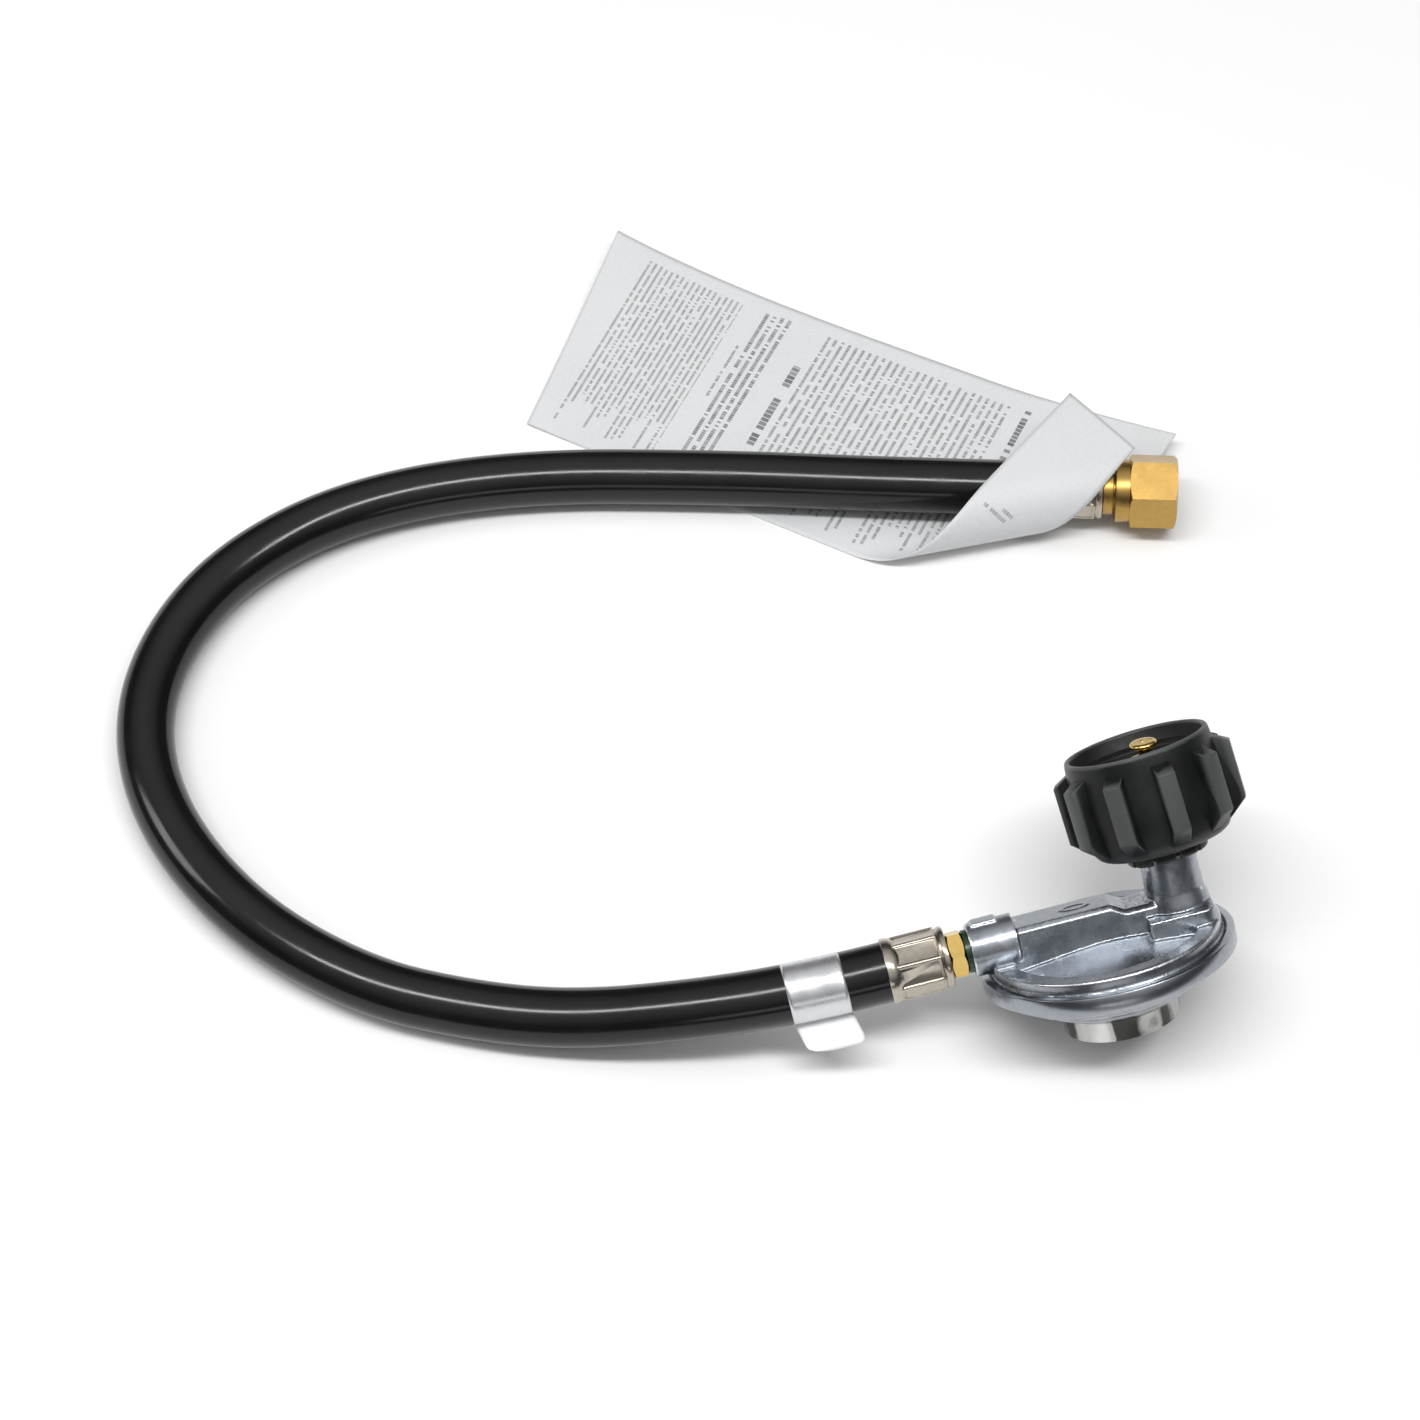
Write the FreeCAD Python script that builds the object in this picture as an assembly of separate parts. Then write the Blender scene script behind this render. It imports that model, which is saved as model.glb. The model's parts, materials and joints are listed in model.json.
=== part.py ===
"""Low-pressure propane regulator with its hose, lying loose on a table.

The regulator is drawn upright about its diaphragm axis: +Z runs to the handwheel, the outlet
points along -X and the inlet stands at +INLET_X. It is then laid on its side, resting on its
flange rim and the edge of its spring tower, with the row's origin under the middle of its box.
The hose leaves its outlet, runs down to the table and round a long loop to a flare nut.
"""
import FreeCAD
import Part
import math
import os

Vec = FreeCAD.Vector
X_AXIS = Vec(1, 0, 0)
Y_AXIS = Vec(0, 1, 0)
Z_AXIS = Vec(0, 0, 1)
ORIGIN = Vec(0, 0, 0)

# ---------------------------------------------------------------- driving dimensions, mm
# fits
RUNNING = 0.05            # radial gap of a shaft that turns or slides in its hole
LOOSE = 0.3               # gap between faces that must never touch

# clamped flange and diaphragm
FLANGE_R = 33.5
FLANGE_LOW = -2.1
FLANGE_HIGH = 2.2
LIP_WALL = 1.6            # bonnet lip outside the casting
LIP_CURL = 0.5            # how far the lip is rolled in over the casting's step
LIP_STEP_Z = 1.35
GROOVE = 0.5              # open groove between the rolled lip and the casting
DIAPHRAGM_T = 1.0
CHAMBER_R = FLANGE_R - 9.5

# casting over the diaphragm
RING_OUT_R = FLANGE_R - 3.0
RING_IN_R = FLANGE_R - 8.3
RING_TOP = 5.4
FLOOR_LOW = 3.6           # casting's outer face beside the ring
FLOOR_HIGH = 6.5          # and at its middle
FLOOR_WALL = 1.9
BEAM_HALF = 5.9
BEAM_TOP = 14.9
BEAM_LOW_TOP = 12.6
BEAM_STEP_X = 2.7
BEAM_STEP_RUN = 3.8
BEAM_WALL = 2.5
BEAM_CHAMFER = 1.1

# outlet
OUTLET_Z = 10.4
BOSS_START = 25.5         # distances along the outlet, from the diaphragm axis
BOSS_END = 34.9
BOSS_R = 7.1
NPT_R = 4.9
PASSAGE_R = 3.0
SEALANT_END = 36.2
SEALANT_R = 5.7
HEX_FLATS = 11.11
HEX_END = 40.7

# inlet
INLET_X = 20.4
PEDESTAL_X0 = 11.0
PEDESTAL_X1 = 29.0
PEDESTAL_HALF = 11.0
PEDESTAL_TOP = 9.4
PEDESTAL_CORNER = 4.0
INLET_BOSS_FOOT_R = 8.5
INLET_BOSS_R = 7.7
INLET_BOSS_FOOT_TOP = 14.0
INLET_BOSS_SHOULDER_R = 7.4
INLET_BOSS_SHOULDER = 21.0
INLET_BOSS_TOP_R = 7.1
INLET_BOSS_TOP = 24.4
NIPPLE_SEAT_R = 5.0
NIPPLE_FOOT_Z = 10.0

# nipple, bushing and handwheel, along the inlet axis
SHAFT_R = 6.2
COLLAR_R = 10.0
COLLAR_Z = 32.2
COLLAR_T = 2.5
NOSE_R = 7.8
NOSE_TIP_R = 6.25
NOSE_TOP = 49.3
POPPET_BORE_R = 3.7
GAS_BORE_R = 2.2
WASHER_T = 0.8
BUSHING_FLANGE_R = 13.6
BUSHING_FLANGE_T = 0.9
BUSHING_HUB_R = 8.2
WHEEL_DROP = 0.9          # how far the leaning handwheel slides up to the nipple's collar
WHEEL_LEAN = 9.2          # the loose handwheel leans on its shaft by this angle
LEAN_WAY = 112.4          # the way it leans, from +X about the inlet axis
LEAN_Z = 27.7             # height of the point it leans about
BUSHING_BORE_R = 6.7      # wide enough for the bushing to lean on the shaft
BUSHING_HUB_LOW = 25.8
WHEEL_NECK_Z = 22.8
WHEEL_NECK_R = 10.6
WHEEL_NECK_BORE_R = 9.1
WHEEL_FLOOR_LOW = 26.1
WHEEL_FLOOR_T = 1.7
WHEEL_RIM_Z = 53.4
WHEEL_RIM_R = 19.0
WHEEL_BELLY_R = 19.8
WHEEL_FOOT_R = 18.3
WHEEL_MOUTH_R = 17.5
WHEEL_THREAD_R = 14.3     # crests of the 1-5/16 inch Acme thread
WHEEL_RELIEF_R = 16.8     # its roots
WHEEL_THREAD_LOW = 33.9
WHEEL_THREAD_HIGH = 49.5
RIBS = 10
RIB_TIP_R = 23.4
RIB_WIDTH = 5.0
RIB_TOP_Z = 50.7
RIB_LOW_Z = 28.9
RIB_SLOPE = 3.0
RIB_PHASE = 25.0
NECK_SLOT = 1.4

# probe
PROBE_R = 3.6
PROBE_TOP = 54.3
PROBE_HEAD_T = 1.5
PROBE_STEM_R = 1.6
PROBE_GUIDE_Z = 38.0
PROBE_GUIDE_T = 1.6
PROBE_TAIL = 3.6
PROBE_TAIL_R = 1.2
PROBE_PUSH = 2.0
RETAINER_T = 1.6

# lever and valve seat
PIN_X = 14.5
PIN_Z = 4.4
PIN_R = 0.8
PIN_HALF = 5.4
LEVER_HALF = 2.9
LEVER_T = 1.0
LEVER_LOW = 2.5           # underside of the strip, valve shut
LEVER_END = 23.2
LEVER_FORK_X = -2.6
FORK_GAP = 0.6            # play of the stem's head and shoulder on the fork
SEAT_R = 2.5
SEAT_T = 1.0
SHUT_GAP = 0.08
ORIFICE_NOSE_R = 2.0
ORIFICE_R = 3.0
ORIFICE_BORE_R = 0.9
VALVE_POCKET_TOP = 6.7
VALVE_POCKET_HALF = 6.5
DIAPHRAGM_TRAVEL = 2.4

# diaphragm stack and its spring
PLATE_R = CHAMBER_R - 7.0
PLATE_T = 1.0
STEM_R = 1.2
STEM_SHOULDER_R = 2.2
STEM_HEAD_R = 2.0
STEM_HEAD_T = 0.8
STEM_LOW = -7.6
RELIEF_NUT_FLATS = 5.5
RELIEF_NUT_T = 1.2
RELIEF_WIRE = 0.45
RELIEF_SPRING_R = 2.1
MAIN_WIRE = 1.5
COIL_STEPS = 8            # arcs in each turn of a spring
MAIN_SPRING_R = 7.8
WASHER_SEAT_Z = -11.0
SPRING_WASHER_R = 10.8
SPRING_WASHER_T = 1.0

# bonnet, adjuster and cap
TOWER_R = 15.35
TOWER_LOW = -18.4
TOWER_TOP = -12.9
TOWER_BORE_R = TOWER_R - 3.75
# the bonnet's cone: share of the way out from the tower to the rim, share of the way down
CONE_STEPS = [(0.895, 0.074), (0.873, 0.139), (0.697, 0.287), (0.675, 0.361), (0.366, 0.620),
              (0.344, 0.685), (0.069, 0.917)]
PLUG_T = 2.6
PLUG_SOCKET_FLATS = 8.0
CAP_T = 2.4
CAP_SLOT = 1.8
VENT_R = 2.0
SCREEN_R = 3.6
SCREEN_T = 0.4

# hose, its ferrules and its far fitting
HOSE_R = 8.0
HOSE_BORE_R = 4.0
HOSE_CRIMPED_R = 6.7
FERRULE_START = 40.7
FERRULE_LENGTH = 16.6
FERRULE_FLATS = 15.6
FERRULE_HEX_END_R = 8.2
FERRULE_HOSE_END_R = 8.7
FERRULE_END_WALL = 1.8
FERRULE_LAP = 1.5         # the hose runs this far into the flared mouth at full size
INSERT_BORE_R = 2.3
INSERT_NECK_R = 4.6
COLLAR_RING_R = 7.0
COLLAR_RING_T = 3.0
FLARE_SHANK_R = 5.2
FLARE_HEAD_R = 7.0
FLARE_HEAD_START = 8.3
FLARE_NOSE_END = 11.6
NUT_START = 3.4
NUT_SHOULDER = 4.1
NUT_SHOULDER_R = 9.0
NUT_HEX_LENGTH = 13.5
NUT_FLATS = 19.05
NUT_THREAD_R = 7.25
NUT_RELIEF_R = 7.6
NUT_ROLL = 45.0

# label and leaflet
LABEL_START = 11.0         # from the near ferrule
LABEL_WIDTH = 15.4
LABEL_T = 0.15
FLAG_LENGTH = 9.4
FLAG_DROP = 0.575         # how far below the hose's axis the flag starts, in hose radii
PAPER_T = 0.3
FOLD_R = 10.3

# how the regulator lies
HEADING = 20.5
ROLL = -11.0

# the hose leaves its ferrule straight for this far, then follows these points round the table
FIRST_RUN = 23.0
ROUTE = [
    (-96.7, -25.7, 16.6),
    (-126.7, -24.9, 10.0),
    (-152.7, -21.3, 8.1),
    (-182.7, -13.7, 8.0),
    (-215.5, 6.9, 8.0),
    (-239.2, 36.4, 8.0),
    (-248.4, 67.5, 8.0),
    (-242.7, 97.2, 8.0),
    (-224.8, 123.5, 8.0),
    (-193.1, 143.6, 8.1),
    (-146.7, 153.3, 8.4),
    (-87.7, 152.7, 8.7),
    (-39.7, 149.9, 9.1),
    (6.8, 147.0, 10.9),
]

# the leaflet lies under the hose; its lower finger is folded back over the hose
LEAF_SHEET = [(-118.7, 246.3), (45.3, 170.3), (36.3, 156.3), (-5.7, 159.3), (-13.7, 140.7),
              (-44.7, 133.8), (-84.7, 149.3), (-144.7, 178.3)]
FOLD_START = (-44.7, 133.8)
FOLD_ANGLE = 12.5
BEND_FROM = 10.0          # stretch of the fold line that the bend covers
BEND_TO = 60.0
BEND_LAP = 0.4            # the bend runs this far into the sheet and the flap
FLAP_FROM = 36.0          # where the flap leaves the bend
FLAP_TIPS = [(28.8, 154.3), (13.8, 174.3)]


# ---------------------------------------------------------------- small shape tools
def cylinder(radius, low, high, x=0.0, y=0.0):
    return Part.makeCylinder(radius, high - low, Vec(x, y, low), Z_AXIS)


def ring(outer, inner, low, high, x=0.0):
    return cylinder(outer, low, high, x).cut(cylinder(inner, low - 1, high + 1, x))


def turned(profile, x=0.0):
    """A solid turned about the line x, from (radius, height) points."""
    points = [Vec(r, 0, z) for r, z in profile]
    face = Part.Face(Part.makePolygon(points + points[:1]))
    solid = face.revolve(ORIGIN, Z_AXIS, 360)
    solid.translate(Vec(x, 0, 0))
    return solid


def block(x0, x1, y0, y1, z0, z1):
    return Part.makeBox(x1 - x0, y1 - y0, z1 - z0, Vec(x0, y0, z0))


def prism(sides, flats, low, high, turn=0.0):
    """A regular prism about Z, by its size across flats."""
    corner = flats / 2 / math.cos(math.pi / sides)
    angles = [2 * math.pi * (i + 0.5) / sides + math.radians(turn) for i in range(sides)]
    points = [Vec(corner * math.cos(a), corner * math.sin(a), low) for a in angles]
    return Part.Face(Part.makePolygon(points + points[:1])).extrude(Vec(0, 0, high - low))


def plate(outline, low, high):
    points = [Vec(x, y, low) for x, y in outline]
    return Part.Face(Part.makePolygon(points + points[:1])).extrude(Vec(0, 0, high - low))


def coil(mean_radius, wire, low, high, turns, x=0.0):
    """A round-wire compression spring that stands between two faces."""
    rise = high - low - wire
    steps = int(turns * COIL_STEPS)
    reach = mean_radius / math.cos(math.pi / COIL_STEPS)
    points = []
    for i in range(steps + 1):
        angle = 2 * math.pi * i / COIL_STEPS
        points.append(Vec(reach * math.cos(angle), reach * math.sin(angle), low + wire / 2 + rise * i / steps))
    spring = tube(route_pieces(points)[0], wire / 2)
    spring.translate(Vec(x, 0, 0))
    return spring


def to_outlet(shape):
    """From a piece drawn along +Z to the outlet's line, along -X."""
    shape.rotate(ORIGIN, Y_AXIS, -90)
    shape.translate(Vec(0, 0, OUTLET_Z))
    return shape


# ---------------------------------------------------------------- casting
def casting():
    half = DIAPHRAGM_T / 2
    lip_in = FLANGE_R - LIP_WALL
    step_r = lip_in - 0.1
    edge_r = lip_in - LIP_CURL - GROOVE
    shell = turned([
        (0, FLOOR_HIGH - FLOOR_WALL), (CHAMBER_R, FLOOR_LOW - FLOOR_WALL), (CHAMBER_R, half),
        (step_r, half), (step_r, LIP_STEP_Z - 0.1), (edge_r, LIP_STEP_Z - 0.1), (edge_r, FLANGE_HIGH),
        (RING_OUT_R, FLANGE_HIGH), (RING_OUT_R, RING_TOP - 0.4), (RING_OUT_R - 0.4, RING_TOP),
        (RING_IN_R + 0.3, RING_TOP), (RING_IN_R, FLOOR_LOW), (0, FLOOR_HIGH)])
    inner = CHAMBER_R - 0.5

    side = [(-BOSS_START, FLOOR_LOW - 1), (-BOSS_START, BEAM_TOP), (BEAM_STEP_X, BEAM_TOP),
            (BEAM_STEP_X + BEAM_STEP_RUN, BEAM_LOW_TOP), (INLET_X, BEAM_LOW_TOP), (INLET_X, FLOOR_LOW - 1)]
    points = [Vec(x, -BEAM_HALF, z) for x, z in side]
    beam = Part.Face(Part.makePolygon(points + points[:1])).extrude(Vec(0, 2 * BEAM_HALF, 0))
    top_edges = [e for e in beam.Edges if e.BoundBox.YLength < 0.01 and e.BoundBox.ZMin > BEAM_LOW_TOP - 0.1
                 and e.BoundBox.XLength > 1]
    beam = beam.makeChamfer(BEAM_CHAMFER, top_edges)

    boss = to_outlet(cylinder(BOSS_R, BOSS_START - 3, BOSS_END))
    web = block(-RING_OUT_R + 0.6, -BOSS_START + 1, -BEAM_HALF, BEAM_HALF, FLANGE_HIGH - 0.2, OUTLET_Z)
    pad = block(-BOSS_END + 1.4, -BOSS_START - 1.2, -2.2, 2.2, OUTLET_Z, OUTLET_Z + BOSS_R + 0.5)

    pedestal = block(PEDESTAL_X0, PEDESTAL_X1, -PEDESTAL_HALF, PEDESTAL_HALF, FLOOR_LOW - 1.2, PEDESTAL_TOP)
    upright = [e for e in pedestal.Edges if e.BoundBox.ZLength > 2 and e.BoundBox.XMin > PEDESTAL_X1 - 1]
    pedestal = pedestal.makeFillet(PEDESTAL_CORNER, upright)
    inlet_boss = turned([
        (0, PEDESTAL_TOP - 1), (INLET_BOSS_FOOT_R, PEDESTAL_TOP - 1), (INLET_BOSS_FOOT_R, PEDESTAL_TOP + 1),
        (INLET_BOSS_R, INLET_BOSS_FOOT_TOP), (INLET_BOSS_SHOULDER_R, INLET_BOSS_SHOULDER),
        (INLET_BOSS_TOP_R, INLET_BOSS_TOP), (0, INLET_BOSS_TOP)], INLET_X)

    body = shell.fuse([beam, boss, web, pad, pedestal, inlet_boss])
    # everything below the chamber's ceiling is cleared again, then the valve's pocket is opened
    cavity = turned([(0, half - 2), (CHAMBER_R, half - 2), (CHAMBER_R, FLOOR_LOW - FLOOR_WALL),
                     (0, FLOOR_HIGH - FLOOR_WALL)])
    gallery = block(-BOSS_START + BEAM_WALL, PEDESTAL_X0 + 2, -BEAM_HALF + BEAM_WALL, BEAM_HALF - BEAM_WALL,
                    half - 2, BEAM_TOP - BEAM_WALL)
    pocket = block(PEDESTAL_X0 + 1.5, LEVER_END + 1, -VALVE_POCKET_HALF, VALVE_POCKET_HALF, half - 2,
                   VALVE_POCKET_TOP).common(cylinder(inner, -5, 20))
    body = body.cut([cavity, gallery, pocket])

    post_half = 1.9
    posts = [block(PIN_X - post_half, PIN_X + post_half, min(y0, y1), max(y0, y1), LEVER_LOW,
                   VALVE_POCKET_TOP + 0.5)
             for y0, y1 in ((LEVER_HALF + LOOSE, PIN_HALF), (-PIN_HALF, -LEVER_HALF - LOOSE))]
    body = body.fuse(posts)
    pin_hole = Part.makeCylinder(PIN_R, 2 * PIN_HALF + 2, Vec(PIN_X, -PIN_HALF - 1, PIN_Z), Y_AXIS)
    outlet_bore = to_outlet(cylinder(NPT_R, BOSS_START, BOSS_END + 1))
    passage = to_outlet(cylinder(PASSAGE_R, BOSS_START - BEAM_WALL - 1, BOSS_START + 1))
    inlet_bore = cylinder(NIPPLE_SEAT_R, NIPPLE_FOOT_Z - 1, INLET_BOSS_TOP + 1, INLET_X)
    orifice_hole = cylinder(ORIFICE_R, VALVE_POCKET_TOP - 1, NIPPLE_FOOT_Z, INLET_X)
    return body.cut([pin_hole, outlet_bore, passage, inlet_bore, orifice_hole])


# ---------------------------------------------------------------- bonnet and adjuster
def bonnet():
    lip_in = FLANGE_R - LIP_WALL
    half = DIAPHRAGM_T / 2
    cone = [(TOWER_R + out * (FLANGE_R - TOWER_R), FLANGE_LOW + down * (TOWER_TOP - FLANGE_LOW))
            for out, down in CONE_STEPS]
    return turned([(FLANGE_R, FLANGE_HIGH - 0.4), (FLANGE_R, FLANGE_LOW)] + cone + [
        (TOWER_R, TOWER_TOP), (TOWER_R, TOWER_LOW + 0.5), (TOWER_R - 0.5, TOWER_LOW), (TOWER_BORE_R + 0.4, TOWER_LOW),
        (TOWER_BORE_R, TOWER_LOW + 0.4), (TOWER_BORE_R, -10.6), (CHAMBER_R - 4, -6.6), (CHAMBER_R, -2.6),
        (CHAMBER_R, -half), (lip_in, -half), (lip_in, LIP_STEP_Z), (lip_in - LIP_CURL, LIP_STEP_Z),
        (lip_in - LIP_CURL, FLANGE_HIGH), (FLANGE_R - 0.4, FLANGE_HIGH)])


def adjusting_plug():
    top = WASHER_SEAT_Z - SPRING_WASHER_T
    radius = TOWER_BORE_R - RUNNING
    plug = cylinder(radius, top - PLUG_T, top)
    return plug.cut(prism(6, PLUG_SOCKET_FLATS, top - PLUG_T - 1, top - 1.2))


def closing_cap():
    low = TOWER_LOW + 0.2
    cap = cylinder(TOWER_BORE_R, low, low + CAP_T)
    slot = block(-TOWER_BORE_R, TOWER_BORE_R, -CAP_SLOT / 2, CAP_SLOT / 2, low - 1, low + 1.1)
    seat = cylinder(SCREEN_R, low + CAP_T - SCREEN_T, low + CAP_T + 1)
    return cap.cut([slot, cylinder(VENT_R, low - 1, low + CAP_T + 1), seat])


def vent_screen():
    top = TOWER_LOW + 0.2 + CAP_T
    return cylinder(SCREEN_R, top - SCREEN_T, top)


# ---------------------------------------------------------------- diaphragm stack
def diaphragm():
    half = DIAPHRAGM_T / 2
    outer = FLANGE_R - LIP_WALL - 0.4
    bead = CHAMBER_R - 3.5
    return turned([
        (STEM_R, -half), (bead - 2.5, -half), (bead - 1.5, -half - 1.0), (bead + 1.5, -half - 1.0),
        (bead + 2.5, -half), (outer, -half), (outer, half), (bead + 2.1, half), (bead + 1.1, half - 1.0),
        (bead - 1.1, half - 1.0), (bead - 2.1, half), (STEM_R, half)])


def diaphragm_plate():
    top = -DIAPHRAGM_T / 2
    return turned([(STEM_R, top), (PLATE_R, top), (PLATE_R, top - PLATE_T),
                   (MAIN_SPRING_R - MAIN_WIRE, top - PLATE_T), (MAIN_SPRING_R - MAIN_WIRE - 0.5, top - PLATE_T - 0.8), (4.2, top - PLATE_T - 0.8),
                   (3.7, top - PLATE_T), (STEM_R, top - PLATE_T)])


def lever_lift():
    """Angle by which the open lever stands up from its shut position."""
    return math.asin(DIAPHRAGM_TRAVEL / PIN_X)


def relief_stem():
    lift = lever_lift()
    drop = PIN_Z - LEVER_LOW
    strip_low = PIN_Z + PIN_X * math.sin(lift) - drop * math.cos(lift)
    strip_top = PIN_Z + PIN_X * math.sin(lift) - (drop - LEVER_T) * math.cos(lift)
    neck_low = strip_low - FORK_GAP
    head = strip_top + FORK_GAP
    base = DIAPHRAGM_T / 2
    return turned([(0, STEM_LOW), (STEM_R, STEM_LOW), (STEM_R, base), (STEM_SHOULDER_R, base),
                   (STEM_SHOULDER_R, neck_low), (STEM_R - 0.1, neck_low), (STEM_R - 0.1, head),
                   (STEM_HEAD_R, head), (STEM_HEAD_R, head + STEM_HEAD_T), (0, head + STEM_HEAD_T)])


def relief_spring_nut():
    low = STEM_LOW + 0.2
    return prism(6, RELIEF_NUT_FLATS, low, low + RELIEF_NUT_T).cut(cylinder(STEM_R, low - 1, low + 3))


def relief_spring():
    top = -DIAPHRAGM_T / 2 - PLATE_T
    return coil(RELIEF_SPRING_R, RELIEF_WIRE, STEM_LOW + 0.2 + RELIEF_NUT_T, top, 5)


def main_spring():
    return coil(MAIN_SPRING_R, MAIN_WIRE, WASHER_SEAT_Z, -DIAPHRAGM_T / 2 - PLATE_T, 3.5)


def spring_washer():
    return ring(SPRING_WASHER_R, 4.0, WASHER_SEAT_Z - SPRING_WASHER_T, WASHER_SEAT_Z)


# ---------------------------------------------------------------- lever and valve
def tip_open(shape):
    """Turn a piece drawn with the valve shut to its open, resting place."""
    shape.rotate(Vec(PIN_X, 0, PIN_Z), Y_AXIS, math.degrees(lever_lift()))
    return shape


def lever():
    strip = block(LEVER_FORK_X, LEVER_END, -LEVER_HALF, LEVER_HALF, LEVER_LOW, LEVER_LOW + LEVER_T)
    hub = Part.makeCylinder(PIN_R + 1.0, 2 * LEVER_HALF, Vec(PIN_X, -LEVER_HALF, PIN_Z), Y_AXIS)
    bore = Part.makeCylinder(PIN_R + RUNNING, 20, Vec(PIN_X, -10, PIN_Z), Y_AXIS)
    fork = block(LEVER_FORK_X - 1, STEM_R + 0.6, -STEM_R - 0.2, STEM_R + 0.2, 0, 9)
    return tip_open(strip.fuse(hub).cut([bore, fork]))


def seat_disc():
    return tip_open(cylinder(SEAT_R, LEVER_LOW + LEVER_T, LEVER_LOW + LEVER_T + SEAT_T, INLET_X))


def lever_pin():
    return Part.makeCylinder(PIN_R, 2 * PIN_HALF, Vec(PIN_X, -PIN_HALF, PIN_Z), Y_AXIS)


def orifice():
    mouth = LEVER_LOW + LEVER_T + SEAT_T + SHUT_GAP
    top = NIPPLE_FOOT_Z - 1
    return turned([(ORIFICE_BORE_R, mouth), (ORIFICE_NOSE_R, mouth), (ORIFICE_NOSE_R, VALVE_POCKET_TOP),
                   (ORIFICE_R, VALVE_POCKET_TOP), (ORIFICE_R, top), (GAS_BORE_R, top),
                   (ORIFICE_BORE_R, top - 2)], INLET_X)


# ---------------------------------------------------------------- inlet pieces
def inlet_nipple():
    collar_top = COLLAR_Z + COLLAR_T
    floor = PROBE_GUIDE_Z - PROBE_TAIL - PROBE_PUSH + 0.4
    return turned([
        (GAS_BORE_R, NIPPLE_FOOT_Z - 1), (NIPPLE_SEAT_R, NIPPLE_FOOT_Z - 1), (NIPPLE_SEAT_R, INLET_BOSS_TOP),
        (SHAFT_R, INLET_BOSS_TOP), (SHAFT_R, COLLAR_Z), (COLLAR_R, COLLAR_Z), (COLLAR_R, collar_top),
        (NOSE_R, collar_top + 0.8), (NOSE_R, NOSE_TOP - 5.5), (NOSE_TIP_R, NOSE_TOP - 1.2),
        (NOSE_TIP_R - 0.9, NOSE_TOP), (POPPET_BORE_R, NOSE_TOP), (POPPET_BORE_R, floor),
        (GAS_BORE_R, floor - 1.2)], INLET_X)


def probe_poppet():
    head = PROBE_TOP - PROBE_HEAD_T
    guide_top = PROBE_GUIDE_Z + PROBE_GUIDE_T
    tail = PROBE_GUIDE_Z - PROBE_TAIL
    return turned([
        (0, tail), (PROBE_TAIL_R, tail), (PROBE_TAIL_R, PROBE_GUIDE_Z), (POPPET_BORE_R - 0.08, PROBE_GUIDE_Z),
        (POPPET_BORE_R - 0.08, guide_top), (PROBE_STEM_R, guide_top + 1.0), (PROBE_STEM_R, head),
        (PROBE_R, head + 0.2), (PROBE_R, PROBE_TOP - 0.4), (PROBE_R - 0.7, PROBE_TOP), (0, PROBE_TOP)], INLET_X)


def poppet_spring():
    floor = PROBE_GUIDE_Z - PROBE_TAIL - PROBE_PUSH + 0.4
    return coil(2.9, 0.5, floor, PROBE_GUIDE_Z, 4, INLET_X)


def poppet_retainer():
    return ring(POPPET_BORE_R, PROBE_STEM_R + 0.1, NOSE_TOP - RETAINER_T, NOSE_TOP, INLET_X)


def bushing_heights():
    low = WHEEL_FLOOR_LOW + WHEEL_FLOOR_T + 0.1
    return low, low + BUSHING_FLANGE_T


def leaning(shape):
    """Tip a piece of the loose handwheel from the shaft's axis to the way it leans."""
    way = math.radians(LEAN_WAY + 90)
    shape.rotate(Vec(INLET_X, 0, LEAN_Z), Vec(math.cos(way), math.sin(way), 0), WHEEL_LEAN)
    return shape


def thermal_bushing():
    low, high = bushing_heights()
    return leaning(turned([
        (BUSHING_BORE_R, BUSHING_HUB_LOW), (BUSHING_HUB_R, BUSHING_HUB_LOW), (BUSHING_HUB_R, low),
        (BUSHING_FLANGE_R, low), (BUSHING_FLANGE_R, high), (BUSHING_BORE_R, high)], INLET_X))


def thrust_washer():
    high = bushing_heights()[1]
    return leaning(ring(COLLAR_R + 1.2, BUSHING_BORE_R, high, high + WASHER_T, INLET_X))


def wheel_rib(angle):
    """One grip rib: upright, sloped at both ends, with one hollow flank."""
    root = WHEEL_FOOT_R - 3
    side = [(root, RIB_LOW_Z - 1.0), (WHEEL_BELLY_R - 0.6, RIB_LOW_Z - 1.0), (RIB_TIP_R, RIB_LOW_Z + RIB_SLOPE),
            (RIB_TIP_R, RIB_TOP_Z - RIB_SLOPE), (WHEEL_BELLY_R - 0.4, RIB_TOP_Z), (root, RIB_TOP_Z)]
    points = [Vec(r, -RIB_WIDTH / 2, z) for r, z in side]
    rib = Part.Face(Part.makePolygon(points + points[:1])).extrude(Vec(0, RIB_WIDTH, 0))
    rib.rotate(ORIGIN, Z_AXIS, angle)
    return rib


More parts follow.
